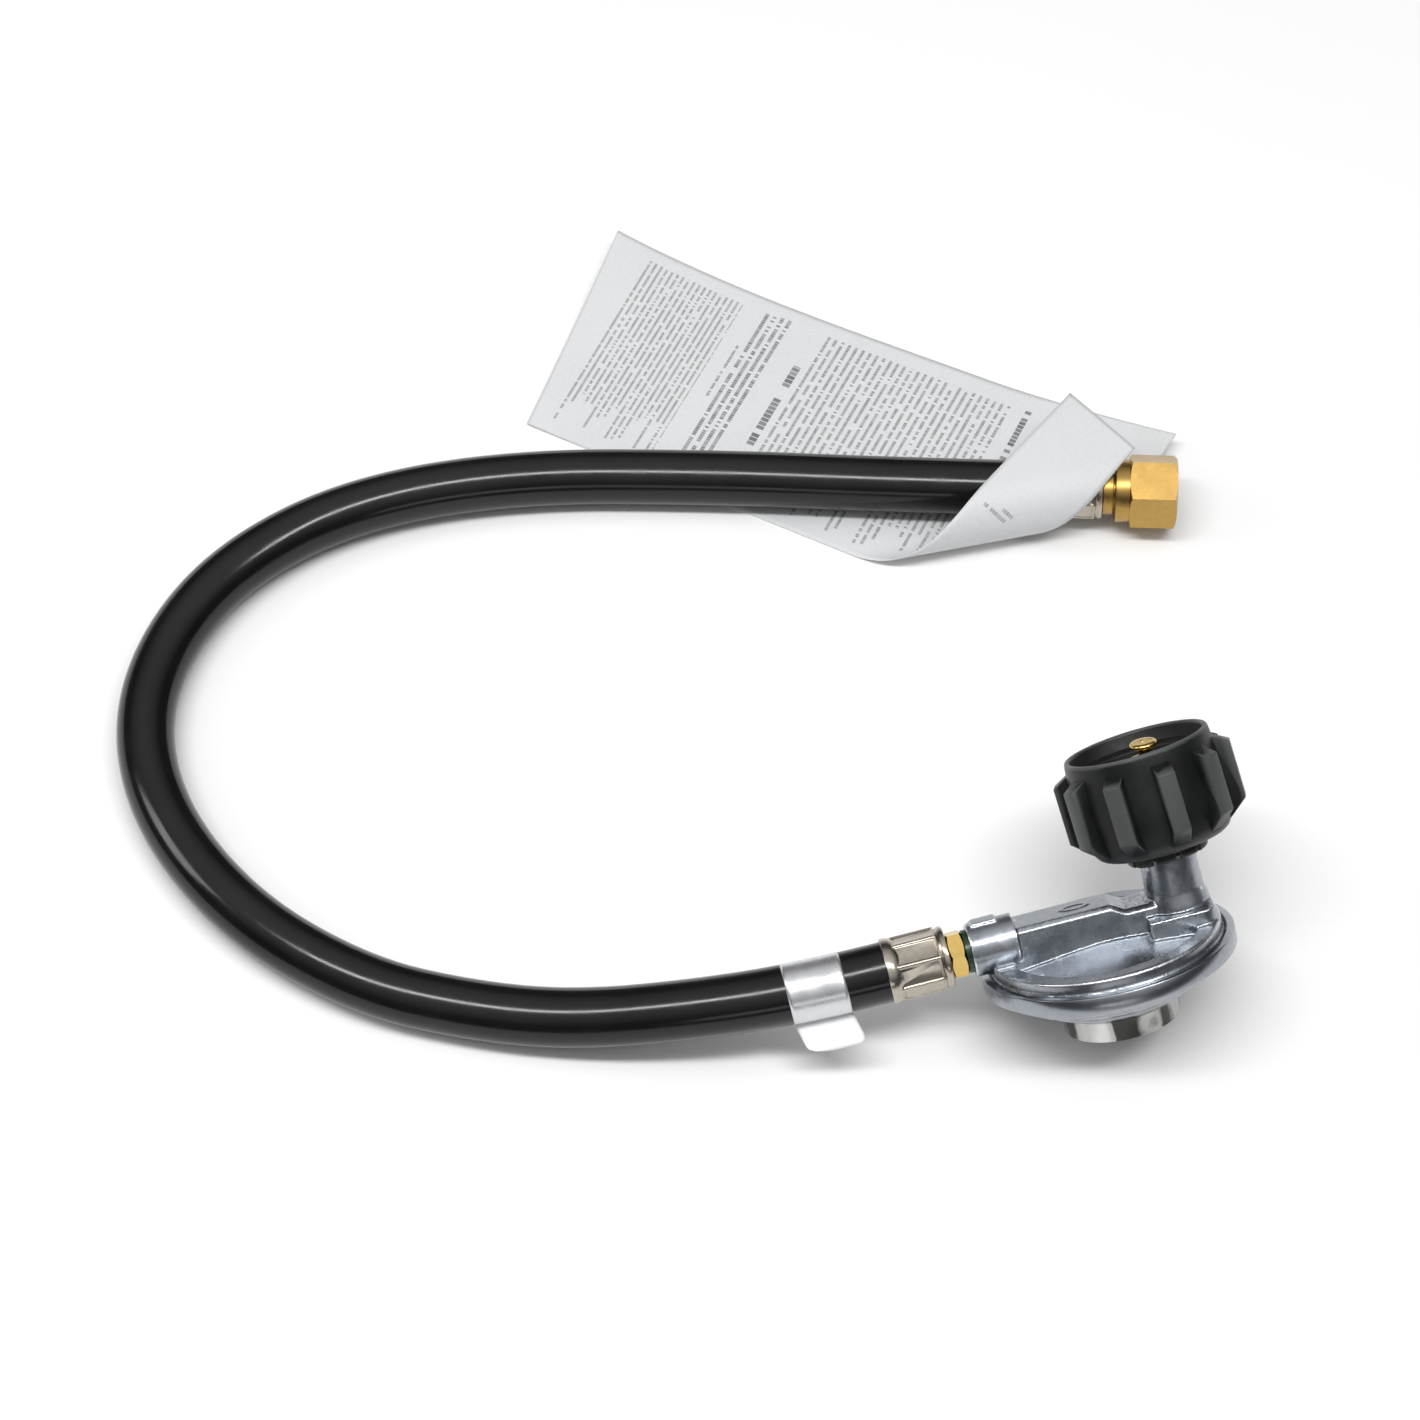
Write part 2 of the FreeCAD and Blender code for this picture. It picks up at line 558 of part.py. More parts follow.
def handwheel_nut():
    floor_top = WHEEL_FLOOR_LOW + WHEEL_FLOOR_T
    hub_hole = BUSHING_HUB_R + 0.1
    outside = turned([
        (0, WHEEL_NECK_Z), (WHEEL_NECK_R, WHEEL_NECK_Z), (WHEEL_NECK_R, WHEEL_FLOOR_LOW),
        (WHEEL_FOOT_R - 1.5, WHEEL_FLOOR_LOW), (WHEEL_FOOT_R, WHEEL_FLOOR_LOW + 1.6),
        (WHEEL_BELLY_R, WHEEL_FLOOR_LOW + 9), (WHEEL_BELLY_R, WHEEL_RIM_Z - 9),
        (WHEEL_RIM_R + 0.2, WHEEL_RIM_Z - 1.0), (WHEEL_RIM_R, WHEEL_RIM_Z), (0, WHEEL_RIM_Z)])
    ribs = [wheel_rib(RIB_PHASE + 360 * i / RIBS) for i in range(RIBS)]
    inside = turned([
        (0, WHEEL_NECK_Z - 1), (WHEEL_NECK_BORE_R, WHEEL_NECK_Z - 1), (WHEEL_NECK_BORE_R, WHEEL_FLOOR_LOW - 0.4),
        (hub_hole, WHEEL_FLOOR_LOW - 0.4), (hub_hole, floor_top),
        (WHEEL_RELIEF_R - 1.6, floor_top), (WHEEL_RELIEF_R, floor_top + 1.6), (WHEEL_RELIEF_R, WHEEL_THREAD_LOW),
        (WHEEL_THREAD_R, WHEEL_THREAD_LOW + 1), (WHEEL_THREAD_R, WHEEL_THREAD_HIGH - 1),
        (WHEEL_MOUTH_R, WHEEL_THREAD_HIGH), (WHEEL_MOUTH_R, WHEEL_RIM_Z + 1), (0, WHEEL_RIM_Z + 1)])
    slots = []
    for i in range(RIBS // 2):
        slot = block(-WHEEL_NECK_R - 1, WHEEL_NECK_R + 1, -NECK_SLOT / 2, NECK_SLOT / 2,
                     WHEEL_NECK_Z - 1, WHEEL_FLOOR_LOW - 0.6)
        slot.rotate(ORIGIN, Z_AXIS, RIB_PHASE + 360 * i / RIBS)
        slots.append(slot)
    nut = outside.fuse(ribs).cut([inside] + slots)
    nut.translate(Vec(INLET_X, 0, 0))
    return leaning(nut)


# ---------------------------------------------------------------- hose ends
def thread_sealant():
    return to_outlet(ring(SEALANT_R, NPT_R, BOSS_END, SEALANT_END))


def hose_insert():
    hose_end = FERRULE_START + FERRULE_END_WALL
    end = FERRULE_START + FERRULE_LENGTH - 1
    solid = cylinder(NPT_R, BOSS_START + 1, SEALANT_END)
    solid = solid.fuse([prism(6, HEX_FLATS, SEALANT_END, HEX_END, 12.0),
                        cylinder(INSERT_NECK_R, HEX_END, hose_end),
                        cylinder(HOSE_BORE_R, hose_end, end)])
    return to_outlet(solid.cut(cylinder(INSERT_BORE_R, BOSS_START, end + 1)))


def ferrule():
    """A crimped ferrule along +Z: from 0 at its fitting end to its length at the hose."""
    length = FERRULE_LENGTH
    lap = length - FERRULE_LAP
    blank = turned([
        (0, 0), (FERRULE_HEX_END_R - 0.4, 0), (FERRULE_HEX_END_R, 0.5), (FERRULE_HEX_END_R, 1.8),
        (FERRULE_FLATS / 2 - 0.2, 2.8), (FERRULE_FLATS / 2 - 0.2, length - 3.6),
        (FERRULE_HOSE_END_R, length - 2.2), (FERRULE_HOSE_END_R, length), (0, length)])
    flats = prism(8, FERRULE_FLATS, 2.4, length - 3.0)
    bore = turned([(0, -1), (INSERT_NECK_R, -1), (INSERT_NECK_R, FERRULE_END_WALL),
                   (HOSE_CRIMPED_R, FERRULE_END_WALL), (HOSE_CRIMPED_R, lap), (HOSE_R, lap),
                   (HOSE_R, length + 1), (0, length + 1)])
    return blank.fuse(flats).cut(bore)


def near_ferrule():
    shell = ferrule()
    shell.translate(Vec(0, 0, FERRULE_START))
    return to_outlet(shell)


# ---------------------------------------------------------------- laying the regulator down
def rest_tilt():
    """Angle of the diaphragm axis above the table, resting on the rim and the tower's edge."""
    return math.atan2(FLANGE_R - TOWER_R, FLANGE_LOW - TOWER_LOW)


def resting_placement(shapes):
    """Turn the regulator over its rim and centre the box of its pieces on the origin."""
    turn = FreeCAD.Rotation(Z_AXIS, HEADING).multiply(
        FreeCAD.Rotation(X_AXIS, math.degrees(rest_tilt()) - 90)).multiply(
        FreeCAD.Rotation(Z_AXIS, ROLL))
    boxes = []
    for shape in shapes:
        copy = shape.copy()
        copy.Placement = FreeCAD.Placement(ORIGIN, turn).multiply(copy.Placement)
        boxes.append(copy.optimalBoundingBox(True))
    x = (min(b.XMin for b in boxes) + max(b.XMax for b in boxes)) / 2
    y = (min(b.YMin for b in boxes) + max(b.YMax for b in boxes)) / 2
    z = min(b.ZMin for b in boxes)
    return FreeCAD.Placement(Vec(-x, -y, -z), turn)


def placed(shape, placement):
    shape.Placement = placement.multiply(shape.Placement)
    return shape


# ---------------------------------------------------------------- hose
def route_pieces(points):
    """Straight runs and tangent arcs through the route, each as (start, direction, arc or run)."""
    pieces = []
    radii = []
    here = points[0]
    for before, corner, after in zip(points, points[1:], points[2:]):
        first = corner - before
        second = after - corner
        turn = first.getAngle(second)
        trim = 0.45 * min(first.Length, second.Length)
        radius = trim / math.tan(turn / 2)
        radii.append(radius)
        first.normalize()
        second.normalize()
        start = corner - first * trim
        end = corner + second * trim
        pieces.append(("run", here, start, first))
        axis = first.cross(second).normalize()
        centre = start + axis.cross(first).normalize() * radius
        pieces.append(("arc", start, centre, first, axis, math.degrees(turn)))
        here = end
    last = points[-1] - here
    pieces.append(("run", here, points[-1], last))
    return pieces, radii


def tube(pieces, radius):
    """A round bar along the route, from cylinders and parts of tori."""
    bars = []
    for piece in pieces:
        if piece[0] == "run":
            way = piece[2] - piece[1]
            bars.append(Part.makeCylinder(radius, way.Length, piece[1], way))
        else:
            start, centre, way, axis, turn = piece[1:]
            face = Part.Face(Part.Wire(Part.makeCircle(radius, start, way)))
            bars.append(face.revolve(centre, axis, turn))
    return bars[0].fuse(bars[1:]).removeSplitter()


def route_length(pieces):
    total = 0.0
    for piece in pieces:
        if piece[0] == "run":
            total += (piece[2] - piece[1]).Length
        else:
            total += (piece[1] - piece[2]).Length * math.radians(piece[5])
    return total


def axis_placement(start, way, roll=0.0):
    """Placement that takes a piece drawn along +Z to a line in space."""
    turn = FreeCAD.Rotation(Z_AXIS, way).multiply(FreeCAD.Rotation(Z_AXIS, roll))
    return FreeCAD.Placement(start, turn)


def hose(pieces, start, start_way, end, end_way):
    """The hose with the two ends that its ferrules squeeze."""
    squeezed = FERRULE_LENGTH - FERRULE_LAP - FERRULE_END_WALL
    near = Part.makeCylinder(HOSE_CRIMPED_R, squeezed, start, start_way * -1)
    far = Part.makeCylinder(HOSE_CRIMPED_R, squeezed, end, end_way)
    near_bore = Part.makeCylinder(HOSE_BORE_R, squeezed + 1, start, start_way * -1)
    far_bore = Part.makeCylinder(HOSE_BORE_R, squeezed + 1, end, end_way)
    solid = tube(pieces, HOSE_R).fuse([near, far])
    return solid.cut([tube(pieces, HOSE_BORE_R), near_bore, far_bore])


def far_ferrule():
    shell = ferrule()
    shell.rotate(ORIGIN, X_AXIS, 180)
    return shell


def flare_insert():
    """Along +Z from 0 at the far ferrule's fitting end."""
    tail = -FERRULE_LENGTH + 1
    solid = turned([
        (INSERT_BORE_R, tail), (HOSE_BORE_R, tail), (HOSE_BORE_R, -FERRULE_END_WALL),
        (INSERT_NECK_R, -FERRULE_END_WALL), (INSERT_NECK_R, 0.0), (COLLAR_RING_R, 0.0),
        (COLLAR_RING_R, COLLAR_RING_T), (FLARE_SHANK_R, COLLAR_RING_T), (FLARE_SHANK_R, FLARE_HEAD_START),
        (FLARE_HEAD_R, FLARE_HEAD_START), (FLARE_HEAD_R, FLARE_HEAD_START + 0.8),
        (FLARE_HEAD_R - 2.5, FLARE_NOSE_END), (INSERT_BORE_R, FLARE_NOSE_END)])
    return solid


def flare_nut():
    hex_start = NUT_START + NUT_SHOULDER
    end = hex_start + NUT_HEX_LENGTH
    corner = NUT_FLATS / 2 / math.cos(math.pi / 6)
    blank = prism(6, NUT_FLATS, hex_start, end, 30.0)
    chamfer = turned([(0, hex_start - 1), (corner - 0.9, hex_start - 1), (corner - 0.9, hex_start),
                      (corner + 0.1, hex_start + 0.6), (corner + 0.1, end - 1.2), (corner - 1.6, end),
                      (0, end)])
    shoulder = cylinder(NUT_SHOULDER_R, NUT_START, hex_start)
    bore = turned([
        (0, NUT_START - 1), (FLARE_SHANK_R + RUNNING, NUT_START - 1), (FLARE_SHANK_R + RUNNING, hex_start + 0.4),
        (NUT_RELIEF_R, hex_start + 0.4), (NUT_RELIEF_R, FLARE_NOSE_END + 0.4),
        (NUT_THREAD_R, FLARE_NOSE_END + 0.4), (NUT_THREAD_R, end + 1), (0, end + 1)])
    return blank.common(chamfer).fuse(shoulder).cut(bore)


def hose_label(pieces, start, way):
    """A paper band round the hose, with the flag where its two ends are stuck together."""
    band = tube(pieces[:5], HOSE_R + LABEL_T).cut(tube(pieces[:5], HOSE_R))
    low = start + way * LABEL_START
    slab = Part.makeCylinder(HOSE_R + 4, LABEL_WIDTH, low, way)
    band = band.common(slab)
    out = way.cross(Z_AXIS).normalize() * -1
    if out.y > 0:
        out = out * -1
    flag = Part.makeBox(LABEL_WIDTH, FLAG_LENGTH, LABEL_T * 2)
    flag_x = way
    flag_z = flag_x.cross(out)
    turn = FreeCAD.Rotation(flag_x, out, flag_z, "XYZ")
    drop = FLAG_DROP * HOSE_R
    reach = math.sqrt(HOSE_R ** 2 - drop ** 2) - LOOSE
    corner = low + out * reach - Z_AXIS * drop
    flag.Placement = FreeCAD.Placement(corner, turn)
    core = tube(pieces[:5], HOSE_R)
    return band.fuse(flag.cut(core))


def leaflet():
    """The sheet on the table and the flap that is folded back over the hose, joined by the bend."""
    flat = plate(LEAF_SHEET, 0, PAPER_T)
    fold = Vec(FOLD_START[0], FOLD_START[1], 0)
    along = FreeCAD.Rotation(Z_AXIS, FOLD_ANGLE).multVec(X_AXIS)
    inner = FreeCAD.Rotation(Z_AXIS, FOLD_ANGLE).multVec(Y_AXIS)
    start = fold + along * BEND_FROM
    length = BEND_TO - BEND_FROM
    centre = start + Z_AXIS * FOLD_R
    bend = Part.makeCylinder(FOLD_R, length, centre, along).cut(
        Part.makeCylinder(FOLD_R - PAPER_T, length, centre, along))
    keep = Part.makeBox(length, 2 * FOLD_R + BEND_LAP, 4 * FOLD_R)
    keep.Placement = FreeCAD.Placement(start - inner * 2 * FOLD_R - Z_AXIS * FOLD_R,
                                       FreeCAD.Rotation(along, inner, Z_AXIS, "XYZ"))
    bend = bend.common(keep)
    roots = [fold + along * FLAP_FROM, fold + along * BEND_TO]
    flap = plate([(p.x, p.y) for p in roots] + FLAP_TIPS, 2 * FOLD_R - PAPER_T, 2 * FOLD_R)
    return flat.fuse([bend, flap])


# ---------------------------------------------------------------- the whole object
def build():
    upright = {
        "regulator_body": casting(), "bonnet": bonnet(), "diaphragm": diaphragm(),
        "diaphragm_plate": diaphragm_plate(), "relief_stem": relief_stem(), "relief_spring": relief_spring(),
        "relief_spring_nut": relief_spring_nut(), "main_spring": main_spring(), "spring_washer": spring_washer(),
        "adjusting_plug": adjusting_plug(), "closing_cap": closing_cap(), "vent_screen": vent_screen(),
        "lever": lever(), "lever_pin": lever_pin(), "seat_disc": seat_disc(), "orifice": orifice(),
        "inlet_nipple": inlet_nipple(), "probe_poppet": probe_poppet(), "poppet_spring": poppet_spring(),
        "poppet_retainer": poppet_retainer(), "thermal_bushing": thermal_bushing(),
        "thrust_washer": thrust_washer(), "handwheel_nut": handwheel_nut(), "thread_sealant": thread_sealant(),
        "hose_insert": hose_insert(), "near_ferrule": near_ferrule(),
    }
    rest = resting_placement(upright.values())
    nodes = {name: placed(shape, rest) for name, shape in upright.items()}

    exit_point = rest.multVec(Vec(-(FERRULE_START + FERRULE_LENGTH - FERRULE_LAP), 0, OUTLET_Z))
    exit_way = rest.Rotation.multVec(Vec(-1, 0, 0))
    points = [exit_point, exit_point + exit_way * FIRST_RUN] + [Vec(*p) for p in ROUTE]
    pieces, radii = route_pieces(points)
    end_way = (points[-1] - points[-2]).normalize()
    nodes["hose"] = hose(pieces, exit_point, exit_way, points[-1], end_way)
    nodes["hose_label"] = hose_label(pieces, exit_point + exit_way * FERRULE_LAP, exit_way)

    far_end = points[-1] + end_way * (FERRULE_LENGTH - FERRULE_LAP)
    far = axis_placement(far_end, end_way, NUT_ROLL)
    nodes["far_ferrule"] = placed(far_ferrule(), far)
    nodes["flare_insert"] = placed(flare_insert(), far)
    nodes["flare_nut"] = placed(flare_nut(), far)
    nodes["leaflet"] = leaflet()

    length = route_length(pieces)
    print("hose: length %.1f" % length, "radii", [round(r, 1) for r in radii])
    section = math.pi * (HOSE_R ** 2 - HOSE_BORE_R ** 2)
    squeezed = FERRULE_LENGTH - FERRULE_LAP - FERRULE_END_WALL
    stubs = 2 * squeezed * math.pi * (HOSE_CRIMPED_R ** 2 - HOSE_BORE_R ** 2)
    print("hose: volume %.0f, section x length %.0f" % (nodes["hose"].Volume, section * length + stubs))
    print("regulator at", rest.Base, "exit", exit_point, "way", exit_way, "far", far_end, "way", end_way)
    return nodes, rest, exit_point, exit_way, far_end, end_way


def export(nodes):
    os.makedirs("parts", exist_ok=True)
    for name, shape in nodes.items():
        if shape.ShapeType == "Compound" and len(shape.Solids) == 1:
            shape = shape.Solids[0]
        print("%-18s %-9s solids %d volume %8.1f valid %s" % (
            name, shape.ShapeType, len(shape.Solids), shape.Volume, shape.isValid()))
        shape.exportStep("parts/%s.step" % name)


export(build()[0])
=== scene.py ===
import json
import math

import bmesh
import bpy
from mathutils import Matrix, Vector


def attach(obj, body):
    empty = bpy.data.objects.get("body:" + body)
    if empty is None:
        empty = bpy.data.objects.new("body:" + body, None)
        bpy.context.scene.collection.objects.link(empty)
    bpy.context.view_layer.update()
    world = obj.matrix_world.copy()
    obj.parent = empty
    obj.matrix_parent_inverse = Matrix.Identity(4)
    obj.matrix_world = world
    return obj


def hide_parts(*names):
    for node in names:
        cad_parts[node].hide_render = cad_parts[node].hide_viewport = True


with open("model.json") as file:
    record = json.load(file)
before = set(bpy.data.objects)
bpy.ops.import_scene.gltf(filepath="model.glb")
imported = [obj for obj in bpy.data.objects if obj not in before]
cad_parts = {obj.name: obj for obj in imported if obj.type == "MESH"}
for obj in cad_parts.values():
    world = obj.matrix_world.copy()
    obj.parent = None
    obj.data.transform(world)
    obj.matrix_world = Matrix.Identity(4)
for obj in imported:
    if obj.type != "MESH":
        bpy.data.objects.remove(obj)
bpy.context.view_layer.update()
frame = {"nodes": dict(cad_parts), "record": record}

MM = 0.001
JOINTS = {j["name"]: j for j in frame["record"]["behaviour"]["joints"]}

# ---------------------------------------------------------------- sizes, mm
# the regulator is drawn upright about its diaphragm's axis, then laid on its rim and its tower
HEADING = 20.5
ROLL = -11.0
FLANGE_R = 33.5
FLANGE_LOW = -2.1
FLANGE_HIGH = 2.2
TOWER_R = 15.35
TOWER_LOW = -18.4
TOWER_BORE_R = 11.6
TOWER_SHINE = -12.0        # the tower is polished from here down
ADJUSTER_DEPTH = 13.0      # the adjuster's hinge, below the diaphragm
OUTLET_Z = 10.4
OVAL_R = 1.5               # the raised oval ring on the beam
OVAL_STRETCH = 2.3
OVAL_X = -6.2
OVAL_Z = 14.9
CAST_VOXEL = 0.3
INLET_X = 20.4

# handwheel
WHEEL_LEAN = 9.2           # the loose wheel leans on its shaft
LEAN_WAY = 112.4
LEAN_Z = 27.7
NECK_Z = 22.8
NECK_R = 10.6
NECK_BORE_R = 9.1
HUB_HOLE_R = 8.3
FLOOR_Z = 26.1
RIM_Z = 53.4
INSIDE_R = 17.7            # everything nearer the axis is inside the mouth
THREAD_TURNS = 3
THREAD_PITCH = 5.1
RIBS = 10
RIB_PHASE = 25.0
RIB_WIDTH = 5.0
RIB_TIP_R = 23.4
RIB_ROOT_R = 17.9
RIB_LOW_Z = 27.9
RIB_TOP_Z = 50.7
RIB_FACE_LOW_Z = 32.4
RIB_FACE_TOP_Z = 47.7
RIB_TAPER = 0.94           # a rib's outer face against its root
RIB_EDGE = 0.28
SLOT_HALF = 0.7

# probe
PROBE_TAIL_Z = 34.4
PROBE_GUIDE_Z = 38.0
PROBE_TOP = 54.3

# outlet fittings, along the outlet
GAS_BORE_R = 2.3
SEALANT_END = 36.2
HEX_FLATS = 11.11
HEX_END = 40.7
FERRULE_START = 40.7
FERRULE_LENGTH = 16.6
FERRULE_LAP = 1.5
FERRULE_FLATS = 15.6
FERRULE_BORE_R = 6.9
PANEL_FRAME = 0.5          # each crimped flat's frame, its slope and its depth
PANEL_SLOPE = 0.22
PANEL_DEPTH = 0.32
FAR_FITTING = 12.0         # the flare nut's hinge, beyond the far ferrule's fitting end
NUT_FLATS = 19.05
NUT_START = 3.4
NUT_SHOULDER = 4.1
NUT_HEX_LENGTH = 13.5
NUT_ROLL = 45.0
NUT_PITCH = 1.41

# hose and its route, in the row frame
HOSE_R = 8.0
FIRST_RUN = 23.0
ROUTE = [
    (-96.7, -25.7, 16.6), (-126.7, -24.9, 10.0), (-152.7, -21.3, 8.1), (-182.7, -13.7, 8.0),
    (-215.5, 6.9, 8.0), (-239.2, 36.4, 8.0), (-248.4, 67.5, 8.0), (-242.7, 97.2, 8.0),
    (-224.8, 123.5, 8.0), (-193.1, 143.6, 8.1), (-146.7, 153.3, 8.4), (-87.7, 152.7, 8.7),
    (-39.7, 149.9, 9.1), (6.8, 147.0, 10.9),
]


# ---------------------------------------------------------------- places
def turn(degrees, axis):
    return Matrix.Rotation(math.radians(degrees), 4, axis)


def upright_place():
    """Takes a piece from the upright regulator to where the regulator lies."""
    hinge = JOINTS["adjuster_turn"]
    centre = Vector(hinge["pos_m"]) + Vector(hinge["axis"]) * ADJUSTER_DEPTH * MM
    tilt = math.degrees(math.atan2(FLANGE_R - TOWER_R, FLANGE_LOW - TOWER_LOW))
    return Matrix.Translation(centre) @ turn(HEADING, "Z") @ turn(tilt - 90, "X") @ turn(ROLL, "Z")


def far_place():
    """Takes a piece drawn along +Z to the far fitting, from the far ferrule's fitting end."""
    hinge = JOINTS["flare_nut_spin"]
    axis = Vector(hinge["axis"])
    start = Vector(hinge["pos_m"]) - axis * FAR_FITTING * MM
    lean = Vector((0, 0, 1)).rotation_difference(axis).to_matrix().to_4x4()
    return Matrix.Translation(start) @ lean @ turn(NUT_ROLL, "Z")


UPRIGHT = upright_place()
OUTLET = UPRIGHT @ Matrix.Translation((0, 0, OUTLET_Z * MM)) @ turn(-90, "Y")
INLET = UPRIGHT @ Matrix.Translation((INLET_X * MM, 0, 0))
LEANING = (INLET @ Matrix.Translation((0, 0, LEAN_Z * MM)) @ turn(LEAN_WAY, "Z")
           @ turn(WHEEL_LEAN, "Y") @ turn(-LEAN_WAY, "Z")
           @ Matrix.Translation((0, 0, -LEAN_Z * MM)))
FAR = far_place()


# ---------------------------------------------------------------- modelling tools
def only(obj):
    """Back in object mode with this object alone selected."""
    if bpy.context.mode != "OBJECT":
        bpy.ops.object.mode_set(mode="OBJECT")
    bpy.ops.object.select_all(action="DESELECT")
    obj.select_set(True)
    bpy.context.view_layer.objects.active = obj
    return obj


def clear_selection():
    if bpy.context.mode != "OBJECT":
        bpy.ops.object.mode_set(mode="OBJECT")
    bpy.ops.object.select_all(action="DESELECT")


def fresh(name):
    """The primitive that was just added, by its new name."""
    obj = bpy.context.active_object
    obj.name = name
    obj.data.name = name
    return obj


def edit(obj, kind="FACE"):
    only(obj)
    bpy.ops.object.mode_set(mode="EDIT")
    bpy.ops.mesh.select_mode(type=kind)
    bpy.ops.mesh.select_all(action="DESELECT")


def pick(obj, test, kind="FACE"):
    """In edit mode, select the faces or edges whose middle and normal pass the test."""
    bpy.ops.mesh.select_mode(type=kind)
    bpy.ops.mesh.select_all(action="DESELECT")
    mesh = bmesh.from_edit_mesh(obj.data)
    if kind == "FACE":
        for face in mesh.faces:
            if test(face.calc_center_median() / MM, face.normal):
                face.select_set(True)
    else:
        for edge in mesh.edges:
            a, b = (v.co / MM for v in edge.verts)
            if test((a + b) / 2, b - a):
                edge.select_set(True)
    mesh.select_flush_mode()
    bmesh.update_edit_mesh(obj.data)


def leave():
    bpy.ops.object.mode_set(mode="OBJECT")


def change(obj, kind, **settings):
    """Add a modifier and apply it."""
    only(obj)
    modifier = obj.modifiers.new(kind.lower(), kind)
    for key, value in settings.items():
        setattr(modifier, key, value)
    bpy.ops.object.modifier_apply(modifier=modifier.name)
    return obj


def soften(obj, width, segments=2, angle=28):
    """Round every edge sharper than the angle."""
    return change(obj, "BEVEL", width=width * MM, segments=segments, limit_method="ANGLE",
                  angle_limit=math.radians(angle), use_clamp_overlap=True)


def combine(obj, other, how):
    """Join, cut or keep the shared part of two solids."""
    change(obj, "BOOLEAN", operation=how, object=other, solver="EXACT")
    bpy.data.objects.remove(other, do_unlink=True)
    return obj


def merge(obj, gap=0.001):
    """Merge doubled points and turn the faces outwards."""
    edit(obj)
    bpy.ops.mesh.select_all(action="SELECT")
    bpy.ops.mesh.remove_doubles(threshold=gap * MM)
    bpy.ops.mesh.normals_make_consistent(inside=False)
    leave()
    return obj


def turned(name, profile, steps=96, closed=False):
    """A piece turned about Z from (radius, height) points."""
    clear_selection()
    bpy.ops.mesh.primitive_plane_add(size=MM)
    obj = fresh(name)
    edit(obj, "VERT")
    bpy.ops.mesh.select_all(action="SELECT")
    bpy.ops.mesh.merge(type="CENTER")
    here = profile[0]
    bpy.ops.transform.translate(value=(here[0] * MM, 0, here[1] * MM))
    for point in profile[1:] + (profile[:1] if closed else []):
        step = ((point[0] - here[0]) * MM, 0, (point[1] - here[1]) * MM)
        bpy.ops.mesh.extrude_region_move(TRANSFORM_OT_translate={"value": step})
        here = point
    bpy.ops.mesh.select_all(action="SELECT")
    bpy.ops.mesh.spin(steps=steps, angle=2 * math.pi, center=(0, 0, 0), axis=(0, 0, 1))
    leave()
    return merge(obj)


def prism(name, sides, flats, low, high, roll=0.0):
    """A solid prism about Z by its size across flats, with a flat facing +X at no roll."""
    clear_selection()
    corner = flats / 2 / math.cos(math.pi / sides)
    bpy.ops.mesh.primitive_cylinder_add(vertices=sides, radius=corner * MM, depth=(high - low) * MM,
                                        location=(0, 0, (low + high) / 2 * MM))
    obj = fresh(name)
    # the primitive has a corner on +Y
    half = 180 / sides
    return settle(obj, turn(roll + half - 90, "Z"))


def block(name, low, high):
    """A box between two corners."""
    clear_selection()
    bpy.ops.mesh.primitive_cube_add(size=1)
    obj = fresh(name)
    edit(obj)
    bpy.ops.mesh.select_all(action="SELECT")
    bpy.ops.transform.resize(value=[(b - a) * MM for a, b in zip(low, high)])
    bpy.ops.transform.translate(value=[(a + b) / 2 * MM for a, b in zip(low, high)])
    leave()
    return obj


def settle(obj, place):
    """Write a piece's place into its mesh, so that its object stays at the origin."""
    only(obj)
    obj.matrix_world = place @ obj.matrix_world
    bpy.ops.object.transform_apply(location=True, rotation=True, scale=True)
    return obj


def twin(obj, name):
    """A copy with its own mesh."""
    copy = obj.copy()
    copy.data = obj.data.copy()
    copy.name = name
    bpy.context.scene.collection.objects.link(copy)
    return copy


def together(objs, name):
    """Join several objects into the first."""
    only(objs[0])
    for obj in objs[1:]:
        obj.select_set(True)
    bpy.ops.object.join()
    objs[0].name = name
    objs[0].data.name = name
    return objs[0]


def finished(obj, body, finish, nodes, angle):
    """Shade a piece, give it its finish and let it ride on its body."""
    only(obj)
    bpy.ops.object.shade_smooth_by_angle(angle=math.radians(angle))
    obj.data.materials.clear()
    obj.data.materials.append(finish)
    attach(obj, body)
    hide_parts(*nodes)


# ---------------------------------------------------------------- finishes
# the colour sockets of the Mix node, which has the same names for each data type
MIX_A = 6
MIX_B = 7
MIX_RESULT = 2
# how deep a bump's height is taken to be, m
FINE_DEPTH = 0.00005
PAPER_DEPTH = 0.00006
TURNED_DEPTH = 0.00006
CAST_DEPTH = 0.0001
FILM_DEPTH = 0.00015
POLISH_DEPTH = 0.00004


